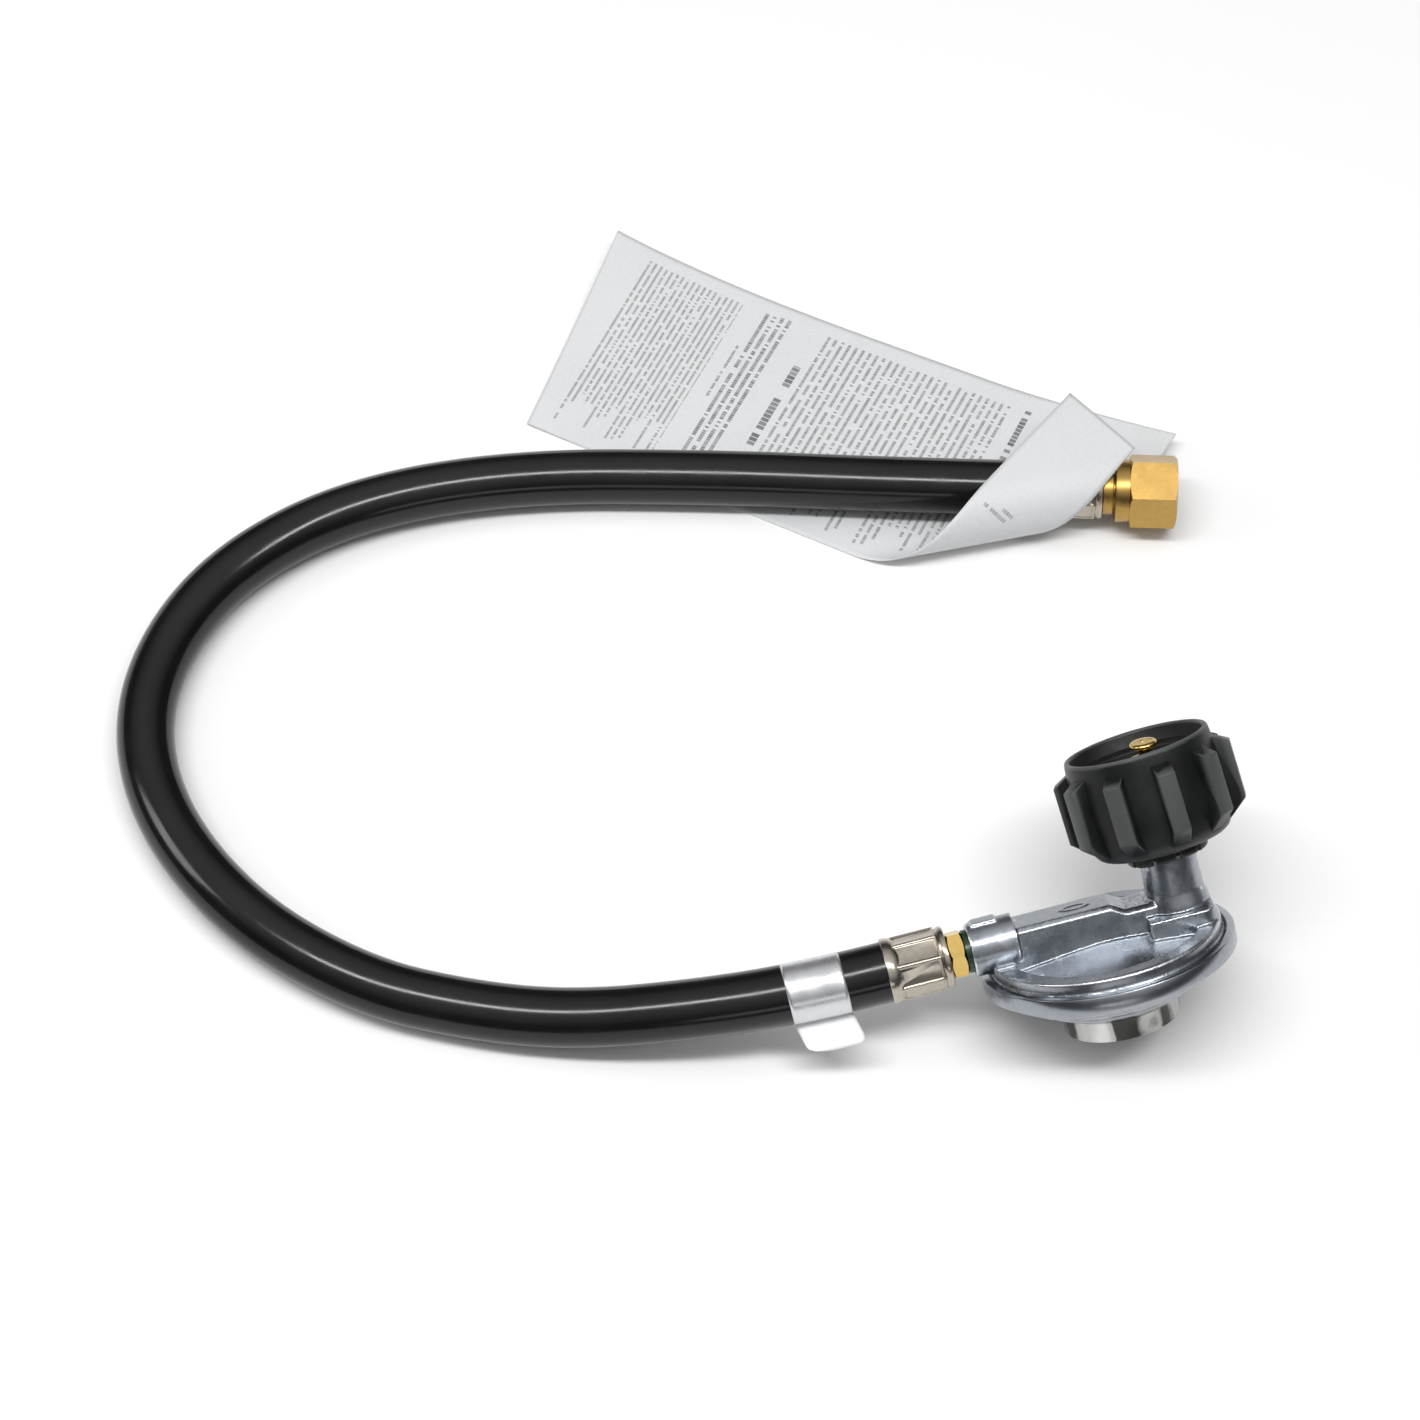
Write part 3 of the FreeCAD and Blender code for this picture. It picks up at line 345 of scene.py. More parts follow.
class Finish:
    """A procedural material, built up node by node."""

    def __init__(self, name, colour, roughness, metallic=0.0, **sockets):
        self.material = bpy.data.materials.new(name)
        self.material.use_nodes = True
        self.nodes = self.material.node_tree.nodes
        self.links = self.material.node_tree.links
        self.shader = self.nodes["Principled BSDF"]
        self.set("Base Color", (*colour, 1))
        self.set("Roughness", roughness)
        self.set("Metallic", metallic)
        for key, value in sockets.items():
            self.set(key.replace("_", " "), value)
        self.coords = self.nodes.new("ShaderNodeTexCoord")

    def set(self, socket, value):
        self.shader.inputs[socket].default_value = value

    def link(self, source, target):
        self.links.new(source, target)

    def mapped(self, vector, location, rotation, scale):
        node = self.nodes.new("ShaderNodeMapping")
        node.inputs["Location"].default_value = location
        node.inputs["Rotation"].default_value = rotation
        node.inputs["Scale"].default_value = scale
        self.link(vector, node.inputs["Vector"])
        return node.outputs["Vector"]

    def stretched(self, scale, place=None):
        """Coordinates scaled along each axis, after a turn into the piece's own frame."""
        vector = self.coords.outputs["Object"]
        if place is not None:
            back = place.inverted()
            vector = self.mapped(vector, back.translation, back.to_euler(), (1, 1, 1))
        return self.mapped(vector, (0, 0, 0), (0, 0, 0), scale)

    def noise(self, scale, detail=3.0, roughness=0.55, vector=None, distortion=0.0):
        node = self.nodes.new("ShaderNodeTexNoise")
        node.inputs["Scale"].default_value = scale
        node.inputs["Detail"].default_value = detail
        node.inputs["Roughness"].default_value = roughness
        node.inputs["Distortion"].default_value = distortion
        self.link(vector or self.coords.outputs["Object"], node.inputs["Vector"])
        return node.outputs["Fac"]

    def grains(self, scale):
        """Distance to the nearest of many scattered points."""
        node = self.nodes.new("ShaderNodeTexVoronoi")
        node.inputs["Scale"].default_value = scale
        self.link(self.coords.outputs["Object"], node.inputs["Vector"])
        return node.outputs["Distance"]

    def spread(self, source, low, high, out_low=0.0, out_high=1.0):
        """The range from low to high, stretched and clamped to another range."""
        node = self.nodes.new("ShaderNodeMapRange")
        node.inputs["From Min"].default_value = low
        node.inputs["From Max"].default_value = high
        node.inputs["To Min"].default_value = out_low
        node.inputs["To Max"].default_value = out_high
        self.link(source, node.inputs["Value"])
        return node.outputs["Result"]

    def math(self, operation, a, b=0.0):
        node = self.nodes.new("ShaderNodeMath")
        node.operation = operation
        for socket, value in zip(node.inputs, (a, b)):
            if isinstance(value, (int, float)):
                socket.default_value = value
            else:
                self.link(value, socket)
        return node.outputs["Value"]

    def blend(self, factor, a, b):
        """Mix two colours, each given or made."""
        node = self.nodes.new("ShaderNodeMix")
        node.data_type = "RGBA"
        sockets = (node.inputs["Factor"], node.inputs[MIX_A], node.inputs[MIX_B])
        for socket, value in zip(sockets, (factor, a, b)):
            if isinstance(value, tuple):
                socket.default_value = (*value, 1)
            elif isinstance(value, (int, float)):
                socket.default_value = value
            else:
                self.link(value, socket)
        return node.outputs[MIX_RESULT]

    def colour(self, source):
        self.link(source, self.shader.inputs["Base Color"])

    def roughness(self, source):
        self.link(source, self.shader.inputs["Roughness"])

    def bump(self, height, strength, depth):
        node = self.nodes.new("ShaderNodeBump")
        node.inputs["Strength"].default_value = strength
        node.inputs["Distance"].default_value = depth
        self.link(height, node.inputs["Height"])
        self.link(node.outputs["Normal"], self.shader.inputs["Normal"])

    def painted_edge_highlight(self, reach):
        """1 on edges and 0 on flats, from how the surface bends: the mask that paints a highlight
        along edges.
        """
        node = self.nodes.new("ShaderNodeNewGeometry")
        return self.spread(node.outputs["Pointiness"], 0.5 + reach, 0.5 + reach * 2.5)


def metal(name, colour, roughness, speckle, grain, tint=None, bump=0.15, streak=None, edges=0.0):
    """A metal with a fine grain, soft stains, rings round its axis where it is turned, and a
    painted highlight on its edges where one is asked for.

    The streak is the turned piece's place and how fine its rings are.
    """
    f = Finish(name, colour, roughness, 1.0)
    fine = f.noise(grain, 4.0)
    broad = f.noise(60.0, 3.0)
    dark = tuple(c * (1 - speckle * 2.4) for c in colour)
    light = tuple(min(1.0, c * (1 + speckle * 1.6)) for c in colour)
    shade = f.blend(f.spread(fine, 0.32, 0.68), dark, light)
    if tint is not None:
        shade = f.blend(f.spread(broad, 0.42, 0.72, 0.0, 0.75), shade, tint)
    # painted highlight: the edges are lightened towards the pale tone, for the light they catch
    if edges:
        shade = f.blend(f.math("MULTIPLY", f.painted_edge_highlight(0.02), edges), shade, light)
    f.colour(shade)
    f.roughness(f.spread(broad, 0.3, 0.7, roughness * 0.8, roughness * 1.3))
    height = fine
    if streak is not None:
        place, rings = streak
        lines = f.noise(rings, 2.0, vector=f.stretched((0.02, 0.02, 1.0), place))
        height = f.math("ADD", f.math("MULTIPLY", fine, 0.4), lines)
    f.bump(height, bump, TURNED_DEPTH)
    return f.material


def cast_zinc():
    """Die-cast zinc: blue-grey, satin, freckled, with flow marks and a painted highlight along its
    edges.
    """
    base = (0.28, 0.30, 0.33)
    f = Finish("cast_zinc", base, 0.28, 0.95)
    fine = f.noise(1100.0, 3.0)
    freckle = f.grains(420.0)
    flow = f.noise(85.0, 5.0, 0.6, distortion=0.9)
    shade = f.blend(f.spread(fine, 0.3, 0.7), (0.25, 0.27, 0.295), (0.34, 0.36, 0.395))
    shade = f.blend(f.spread(flow, 0.42, 0.68, 0.0, 0.75), shade, (0.44, 0.465, 0.50))
    shade = f.blend(f.spread(freckle, 0.0, 0.22, 0.35, 0.0), shade, (0.15, 0.16, 0.18))
    # painted highlight: the edges are lightened to near white, for the light they catch
    shade = f.blend(f.math("MULTIPLY", f.painted_edge_highlight(0.012), 0.8), shade, (0.80, 0.82, 0.85))
    f.colour(shade)
    f.roughness(f.spread(flow, 0.3, 0.7, 0.2, 0.34))
    height = f.math("ADD", f.math("MULTIPLY", fine, 0.35), f.math("MULTIPLY", freckle, 0.35))
    f.bump(height, 0.28, CAST_DEPTH)
    return f.material


def polished_zinc():
    """The tower: polished, with painted reflections: dark and bright patches that run along it."""
    f = Finish("polished_zinc", (0.55, 0.55, 0.55), 0.08, 1.0)
    # painted reflection: dark and bright bands along the tower stand in for what its mirror finish
    # reflects
    painted_reflection_bands = f.noise(85.0, 2.0, 0.5, vector=f.stretched((1.0, 1.0, 0.12), UPRIGHT))
    blotch = f.noise(160.0, 4.0)
    painted_reflection_mask = f.math("ADD", painted_reflection_bands, f.math("MULTIPLY", f.math("SUBTRACT", blotch, 0.5), 0.12))
    shade = f.blend(f.spread(painted_reflection_mask, 0.42, 0.47), (0.055, 0.055, 0.05), (0.42, 0.42, 0.40))
    f.colour(f.blend(f.spread(painted_reflection_mask, 0.53, 0.6), shade, (0.62, 0.62, 0.61)))
    f.roughness(f.spread(blotch, 0.3, 0.7, 0.06, 0.16))
    f.bump(f.noise(900.0, 2.0), 0.1, POLISH_DEPTH)
    return f.material


def hose_rubber():
    """Extruded black rubber: glossy, with faint draw lines and dust."""
    f = Finish("hose_rubber", (0.004, 0.004, 0.0045), 0.16, 0.0, Specular_IOR_Level=0.4)
    long_lines = f.noise(26.0, 3.0)
    fine = f.noise(1400.0, 2.0)
    f.colour(f.blend(f.spread(long_lines, 0.35, 0.7),
                     (0.003, 0.003, 0.0035), (0.007, 0.007, 0.0075)))
    f.roughness(f.spread(f.noise(160.0, 4.0), 0.3, 0.75, 0.13, 0.22))
    height = f.math("ADD", f.math("MULTIPLY", fine, 0.35), f.noise(330.0, 2.0))
    f.bump(height, 0.16, FINE_DEPTH)
    return f.material


def wheel_plastic():
    """Moulded black plastic: satin, fine spark grain, and a painted highlight that makes its edges
    a little paler.
    """
    f = Finish("wheel_plastic", (0.008, 0.009, 0.009), 0.38, 0.0, Specular_IOR_Level=0.28)
    grain = f.noise(2600.0, 2.0)
    cloud = f.noise(120.0, 3.0)
    shade = f.blend(f.spread(cloud, 0.35, 0.7), (0.006, 0.0065, 0.0065), (0.012, 0.013, 0.013))
    # painted highlight: the edges are made paler, for the light they catch
    shade = f.blend(f.math("MULTIPLY", f.painted_edge_highlight(0.015), 0.6), shade, (0.10, 0.105, 0.105))
    f.colour(shade)
    f.roughness(f.spread(cloud, 0.3, 0.7, 0.33, 0.46))
    f.bump(grain, 0.25, FINE_DEPTH)
    return f.material


def plain_plastic(name, colour, roughness, lift=1.5):
    """A moulded plastic or rubber with a fine grain and slight clouding."""
    f = Finish(name, colour, roughness)
    cloud = f.noise(240.0, 3.0)
    pale = tuple(min(1.0, c * lift) for c in colour)
    f.colour(f.blend(f.spread(cloud, 0.3, 0.7), colour, pale))
    f.roughness(f.spread(cloud, 0.3, 0.7, roughness * 0.85, min(1.0, roughness * 1.2)))
    f.bump(f.noise(1800.0, 2.0), 0.2, FINE_DEPTH)
    return f.material


# each zone of bars: start, end, pitch, low, high, fill, letter, weight, seed
FRONT_ZONES = [
    (5.4, 37.4, 1.83, 4.0, 68.5, 0.42, 0.62, 0.72, 3.0),
    (41.6, 43.6, 2.0, 20.0, 54.0, 0.42, 0.62, 0.74, 40.0),
    (44.3, 53.9, 2.35, 4.0, 69.5, 0.50, 0.80, 0.86, 60.0),
    (60.4, 63.4, 3.0, 10.0, 55.0, 0.78, 1.60, 0.95, 90.0),
    (64.6, 125.0, 2.26, 4.0, 69.5, 0.42, 0.70, 0.74, 110.0),
    (129.2, 131.8, 2.6, 34.0, 70.0, 0.74, 1.40, 0.90, 170.0),
]
BACK_ZONES = [(147.0, 153.5, 2.26, 2.0, 13.0, 0.5, 0.86, 0.62, 210.0)]
BLANK_SHARE = 0.17         # of the letters, left out so that words form
LETTER_GAP = 0.16
PALEST_LETTER = 0.55
RAGGED_END = 14.0          # how far short a row may stop, mm


def paper(name, printed):
    """Thin matt paper, with rows of small grey bars for its words."""
    f = Finish(name, (0.70, 0.71, 0.715), 0.6)
    fibre = f.noise(1100.0, 4.0, vector=f.stretched((1.0, 1.6, 1.0)))
    mottle = f.noise(45.0, 3.0)
    sheet = f.blend(f.spread(fibre, 0.3, 0.7), (0.60, 0.61, 0.62), (0.66, 0.668, 0.674))
    sheet = f.blend(f.spread(mottle, 0.35, 0.7, 0.0, 0.3), sheet, (0.69, 0.695, 0.70))
    parts = f.nodes.new("ShaderNodeSeparateXYZ")
    f.link(f.coords.outputs["UV"], parts.inputs["Vector"])
    along, up = parts.outputs["X"], parts.outputs["Y"]
    ink = None
    for zone in printed:
        mark = word_bars(f, along, up, *zone)
        ink = mark if ink is None else f.math("MAXIMUM", ink, mark)
    if ink is not None:
        sheet = f.blend(ink, sheet, (0.06, 0.062, 0.066))
    f.colour(sheet)
    f.bump(fibre, 0.12, PAPER_DEPTH)
    return f.material


def word_bars(f, along, up, start, end, pitch, low, high, fill, letter, weight, seed):
    """Rows of bars across the leaflet: a row each pitch, broken into words of random length."""
    row = f.math("DIVIDE", f.math("SUBTRACT", along, start * MM), pitch * MM)
    number = f.math("FLOOR", row)
    inside = f.math("FRACT", row)
    body = f.math("MULTIPLY", f.math("GREATER_THAN", inside, 0.5 - fill / 2),
                  f.math("LESS_THAN", inside, 0.5 + fill / 2))
    cell = f.math("DIVIDE", up, letter * MM)
    point = f.nodes.new("ShaderNodeCombineXYZ")
    f.link(f.math("FLOOR", cell), point.inputs["X"])
    f.link(f.math("ADD", number, seed), point.inputs["Y"])
    chance = f.nodes.new("ShaderNodeTexWhiteNoise")
    chance.noise_dimensions = "2D"
    f.link(point.outputs["Vector"], chance.inputs["Vector"])
    letters = f.spread(chance.outputs["Value"], BLANK_SHARE, BLANK_SHARE + 0.001)
    tone = f.spread(chance.outputs["Color"], 0.0, 1.0, PALEST_LETTER, 1.0)
    gap = f.math("GREATER_THAN", f.math("FRACT", cell), LETTER_GAP)
    # the last words of a row end at a different place in each
    ragged = f.nodes.new("ShaderNodeTexWhiteNoise")
    ragged.noise_dimensions = "1D"
    f.link(f.math("ADD", number, seed + 0.5), ragged.inputs["W"])
    short = f.math("MULTIPLY", ragged.outputs["Value"], RAGGED_END * MM)
    bottom = f.math("ADD", low * MM, short)
    limits = f.math("MULTIPLY", f.math("LESS_THAN", up, high * MM),
                    f.math("GREATER_THAN", up, bottom))
    span = f.math("MULTIPLY", f.math("GREATER_THAN", along, start * MM),
                  f.math("LESS_THAN", along, end * MM))
    mark = body
    for factor in (letters, tone, gap, limits, span):
        mark = f.math("MULTIPLY", mark, factor)
    return f.math("MULTIPLY", mark, weight)


def label_film(name, white):
    """The label's film: silver where it lies on the hose, white on the flag."""
    if white:
        f = Finish(name, (0.86, 0.87, 0.88), 0.45)
        cloud = f.noise(260.0, 3.0)
        f.colour(f.blend(f.spread(cloud, 0.3, 0.7), (0.84, 0.85, 0.86), (0.90, 0.905, 0.91)))
    else:
        f = Finish(name, (0.62, 0.63, 0.645), 0.28, 0.85)
        cloud = f.noise(120.0, 2.0)
        f.colour(f.blend(f.spread(cloud, 0.3, 0.7), (0.62, 0.63, 0.65), (0.72, 0.725, 0.735)))
        f.roughness(f.spread(cloud, 0.3, 0.7, 0.22, 0.36))
    f.bump(f.noise(150.0, 2.0, distortion=0.4), 0.12, FILM_DEPTH)
    return f.material


def make_finishes():
    """One finish for each slot of the record, and second ones for parts of a piece."""
    return {
        "zinc": cast_zinc(),
        "bonnet_zinc": metal("rim_zinc", (0.31, 0.33, 0.36), 0.24, 0.06, 700.0,
                             (0.40, 0.41, 0.43), 0.2, (UPRIGHT, 5200.0), 0.5),
        "tower_zinc": polished_zinc(),
        "diaphragm_rubber": plain_plastic("diaphragm_rubber", (0.03, 0.03, 0.03), 0.6),
        "plated_steel": metal("plated_steel", (0.62, 0.62, 0.60), 0.3, 0.05, 900.0,
                              (0.66, 0.62, 0.50)),
        "spring_steel": metal("spring_wire", (0.42, 0.42, 0.43), 0.35, 0.05, 1400.0),
        "brass": metal("turned_brass", (0.68, 0.48, 0.16), 0.2, 0.04, 800.0,
                       (0.60, 0.38, 0.11), 0.14, (INLET, 4200.0), 0.3),
        "nut_brass": metal("nut_brass", (0.44, 0.28, 0.085), 0.27, 0.05, 700.0,
                           (0.36, 0.21, 0.055), 0.16, (FAR, 3600.0), 0.4),
        "cap_plastic": plain_plastic("cap_plastic", (0.02, 0.02, 0.021), 0.45),
        "wheel_plastic": wheel_plastic(),
        # painted shade: the same plastic made nearly black for the shade inside the wheel's mouth
        "wheel_inside": plain_plastic("wheel_inside", (0.0015, 0.0015, 0.0015), 0.6),
        "bushing_plastic": plain_plastic("bushing_plastic", (0.03, 0.12, 0.045), 0.35),
        "sealant": plain_plastic("dried_sealant", (0.004, 0.022, 0.011), 0.25, 2.0),
        "ferrule_steel": metal("nickel_plate", (0.46, 0.42, 0.36), 0.2, 0.04, 600.0,
                               (0.38, 0.32, 0.24), 0.16, None, 0.6),
        "hose_rubber": hose_rubber(),
        "label_film": label_film("silver_film", False),
        "label_white": label_film("white_film", True),
        "leaflet_paper": paper("printed_paper", FRONT_ZONES),
        "leaflet_back": paper("plain_paper", BACK_ZONES),
        "seat_rubber": plain_plastic("seat_rubber", (0.03, 0.03, 0.03), 0.55),
    }


FINISHES = make_finishes()


# ---------------------------------------------------------------- camera
LENS = 91.57
SENSOR = 36.0
CAMERA_ELEVATION = 57.0
CAMERA_DISTANCE = 1.0      # m
CAMERA_TARGET = (-90.8, 73.1, 8.0)


def camera():
    data = bpy.data.cameras.new("camera")
    data.lens = LENS
    data.sensor_width = SENSOR
    data.clip_start = 0.01
    data.clip_end = 20.0
    obj = bpy.data.objects.new("camera", data)
    bpy.context.scene.collection.objects.link(obj)
    elevation = math.radians(CAMERA_ELEVATION)
    target = Vector(CAMERA_TARGET) * MM
    back = Vector((0, -math.cos(elevation), math.sin(elevation)))
    obj.location = target + back * CAMERA_DISTANCE
    obj.rotation_mode = "QUATERNION"
    obj.rotation_quaternion = (-back).to_track_quat("-Z", "Y")
    bpy.context.scene.camera = obj


camera()


# ---------------------------------------------------------------- hose
def hose_points():
    """The route's points, in metres: straight out of the ferrule, then round the table."""
    start = OUTLET @ Vector((0, 0, (FERRULE_START + FERRULE_LENGTH - FERRULE_LAP) * MM))
    way = (OUTLET.to_3x3() @ Vector((0, 0, 1))).normalized()
    return [start, start + way * FIRST_RUN * MM] + [Vector(p) * MM for p in ROUTE]


def route_curve(name):
    points = hose_points()
    data = bpy.data.curves.new(name, "CURVE")
    data.dimensions = "3D"
    spline = data.splines.new("NURBS")
    spline.points.add(len(points) - 1)
    for knot, point in zip(spline.points, points):
        knot.co = (*point, 1.0)
    spline.order_u = 3
    spline.use_endpoint_u = True
    spline.resolution_u = 24
    data.resolution_u = 24
    obj = bpy.data.objects.new(name, data)
    bpy.context.scene.collection.objects.link(obj)
    return obj


def hose():
    obj = route_curve("hose_line")
    obj.data.bevel_depth = HOSE_R * MM
    obj.data.bevel_resolution = 14
    obj.data.use_fill_caps = True
    obj.data.materials.append(FINISHES["hose_rubber"])
    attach(obj, "root")
    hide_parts("hose")
    return obj


def centre_line():
    """The hose's own centreline as close points, read from its spline."""
    obj = route_curve("line_to_read")
    mesh = bpy.data.meshes.new_from_object(obj)
    points = [v.co.copy() for v in mesh.vertices]
    bpy.data.objects.remove(obj, do_unlink=True)
    bpy.data.meshes.remove(mesh)
    return points


HOSE = hose()


# ---------------------------------------------------------------- leaflet
# flat positions on the table, mm
LEAF_LOW_LEFT = Vector((-144.7, 178.3))
LEAF_TOP_LEFT = Vector((-118.7, 246.3))
LEAF_TOP_RIGHT = Vector((45.3, 170.3))
LEAF_END_LOW = Vector((36.3, 156.3))
SLIT_ROOT = Vector((-11.7, 142.8))
FINGER_END_HIGH = Vector((39.3, 116.2))
FINGER_END_LOW = Vector((32.2, 90.2))
FOLD_START = Vector((-44.7, 133.8))
FOLD_ANGLE = 12.5
FOLD_R = 10.1
PAPER_T = 0.25
CORNER_LIFT = 9.0
FINGER_LIFT = 6.0
CORNER_START = Vector((-100.0, 165.0))
CORNER_WAY = Vector((-0.45, 0.89))
CORNER_FLAT = 10.0         # how far past its start the corner still lies flat
CORNER_REACH = 75.0
CORNER_RIGHT = 30.0        # the lift fades out towards this x
CORNER_FADE = 150.0
FINGER_START = -8.0        # the upper finger lifts to the right of this x
FINGER_REACH = 53.0
FLAP_SAG = 0.0012          # how the flap falls over the hose, per mm
ROOT_SHARE = 0.37          # the slit's height, as a share of the left end
SPLIT_SHARE = 0.745        # where the slit ends, along the upper edge
WAIST_SHARE = 0.80
WAIST = Vector((-4.7, 159.3))
SHEET_GAP = 0.02           # the sheet's height over the table


def lay_paper(point):
    """Where a point of the flat sheet lies: on the table, round the bend or over the hose."""
    angle = math.radians(FOLD_ANGLE)
    way = Vector((math.cos(angle), math.sin(angle)))
    side = Vector((-way.y, way.x))
    from_start = point - FOLD_START
    run = from_start.dot(way)
    past = -from_start.dot(side)
    if past <= 0:
        # the corner beyond the hose curls up a little, and the upper finger's end stands off
        beyond = (point - CORNER_START).dot(CORNER_WAY)
        loose = max(0.0, beyond - CORNER_FLAT) / CORNER_REACH
        left = max(0.0, min(1.0, (CORNER_RIGHT - point.x) / CORNER_FADE))
        right = max(0.0, (point.x - FINGER_START) / FINGER_REACH)
        height = CORNER_LIFT * loose ** 2 * left ** 1.5 + FINGER_LIFT * right ** 1.7
        flat = FOLD_START + way * run - side * past
        return Vector((flat.x, flat.y, height))
    phi = past / FOLD_R
    if phi <= math.pi:
        flat = FOLD_START + way * run - side * FOLD_R * math.sin(phi)
        return Vector((flat.x, flat.y, FOLD_R * (1 - math.cos(phi))))
    over = past - math.pi * FOLD_R
    flat = FOLD_START + way * run + side * over
    return Vector((flat.x, flat.y, 2 * FOLD_R - FLAP_SAG * over ** 2))


def patch(mesh, low_a, high_a, low_b, high_b, columns, rows):
    """A ruled patch of the sheet between two columns."""
    grid = []
    for i in range(columns + 1):
        t = i / columns
        low = low_a.lerp(low_b, t)
        high = high_a.lerp(high_b, t)
        grid.append([mesh.verts.new(low.lerp(high, j / rows).to_3d()) for j in range(rows + 1)])
    for left, right in zip(grid, grid[1:]):
        for j in range(rows):
            mesh.faces.new((left[j], right[j], right[j + 1], left[j + 1]))


def leaflet():
    """The sheet under the hose, with the finger that is folded back over it."""
    along = (FINGER_END_LOW - LEAF_LOW_LEFT).normalized()
    across = Vector((-along.y, along.x))
    split_low = LEAF_LOW_LEFT + along * (SLIT_ROOT - LEAF_LOW_LEFT).dot(along)
    split_high = LEAF_TOP_LEFT.lerp(LEAF_TOP_RIGHT, SPLIT_SHARE)
    waist_high = LEAF_TOP_LEFT.lerp(LEAF_TOP_RIGHT, WAIST_SHARE)
    root_left = LEAF_LOW_LEFT.lerp(LEAF_TOP_LEFT, ROOT_SHARE)
    mesh = bmesh.new()
    patch(mesh, LEAF_LOW_LEFT, root_left, split_low, SLIT_ROOT, 90, 18)
    patch(mesh, root_left, LEAF_TOP_LEFT, SLIT_ROOT, split_high, 90, 30)
    patch(mesh, SLIT_ROOT, split_high, WAIST, waist_high, 6, 30)
    patch(mesh, WAIST, waist_high, LEAF_END_LOW, LEAF_TOP_RIGHT, 26, 30)
    patch(mesh, split_low, SLIT_ROOT, FINGER_END_LOW, FINGER_END_HIGH, 44, 18)
    bmesh.ops.remove_doubles(mesh, verts=mesh.verts, dist=0.01)
    layer = mesh.loops.layers.uv.new("leaflet")
    for face in mesh.faces:
        for loop in face.loops:
            flat = loop.vert.co.to_2d() - LEAF_LOW_LEFT
            loop[layer].uv = (flat.dot(along) * MM, flat.dot(across) * MM)
    for vert in mesh.verts:
        vert.co = (lay_paper(vert.co.to_2d()) + Vector((0, 0, PAPER_T + SHEET_GAP))) * MM
    data = bpy.data.meshes.new("leaflet_sheet")
    mesh.to_mesh(data)
    mesh.free()
    obj = bpy.data.objects.new("leaflet_sheet", data)
    bpy.context.scene.collection.objects.link(obj)
    data.materials.append(FINISHES["leaflet_paper"])
    data.materials.append(FINISHES["leaflet_back"])
    only(obj)
    bpy.ops.object.shade_smooth()
    change(obj, "SOLIDIFY", thickness=PAPER_T * MM, offset=-1.0,
           material_offset=1, material_offset_rim=1)
    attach(obj, "root")
    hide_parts("leaflet")
    outline = [LEAF_LOW_LEFT, FINGER_END_LOW, FINGER_END_HIGH, SLIT_ROOT, WAIST, LEAF_END_LOW,
               LEAF_TOP_RIGHT, LEAF_TOP_LEFT]
    pairs = zip(outline, outline[1:] + outline[:1])
    area = 0.5 * abs(sum(a.x * b.y - b.x * a.y for a, b in pairs))


leaflet()


# ---------------------------------------------------------------- label on the hose
LABEL_START = 11.0
LABEL_WIDTH = 15.4
FLAG_LENGTH = 8.8
LABEL_T = 0.084
LABEL_R = 8.08
LABEL_COLUMNS = 16
LEAVE_ANGLE = -40.0        # where the film leaves the hose
FLAG_ANGLE = -14.0
FLAG_STEPS = 8
FLAG_GAP = 0.10            # between the middle of the flag and each of its leaves
FLAG_SAG = 0.25
FLAG_SKEW = -2.0           # towards the regulator
FLAG_RIPPLE = 0.25
FLAG_CURL = 1.1
CURL_START = 0.55          # share of the label's width where the curl starts
CORNER_ROUND = 1.6
CORNER_SHARE = 0.28        # of the flag's length that is rounded
WRAP_STEPS = 48


def unit(degrees):
    angle = math.radians(degrees)
    return Vector((math.cos(angle), math.sin(angle)))


def label_section():
    """The film's section from the flag's edge round the hose and back: (out, up) in mm."""
    tip = unit(LEAVE_ANGLE) * LABEL_R

    def leaf(t, gap):
        return tip + unit(FLAG_ANGLE) * FLAG_LENGTH * t + Vector((0, gap - FLAG_SAG * t * t))

    steps = [i / FLAG_STEPS for i in range(1, FLAG_STEPS + 1)]
    wrap = [unit(LEAVE_ANGLE + 360 * i / WRAP_STEPS) * LABEL_R for i in range(WRAP_STEPS + 1)]
    return [leaf(t, FLAG_GAP) for t in reversed(steps)] + wrap + [leaf(t, -FLAG_GAP) for t in steps]


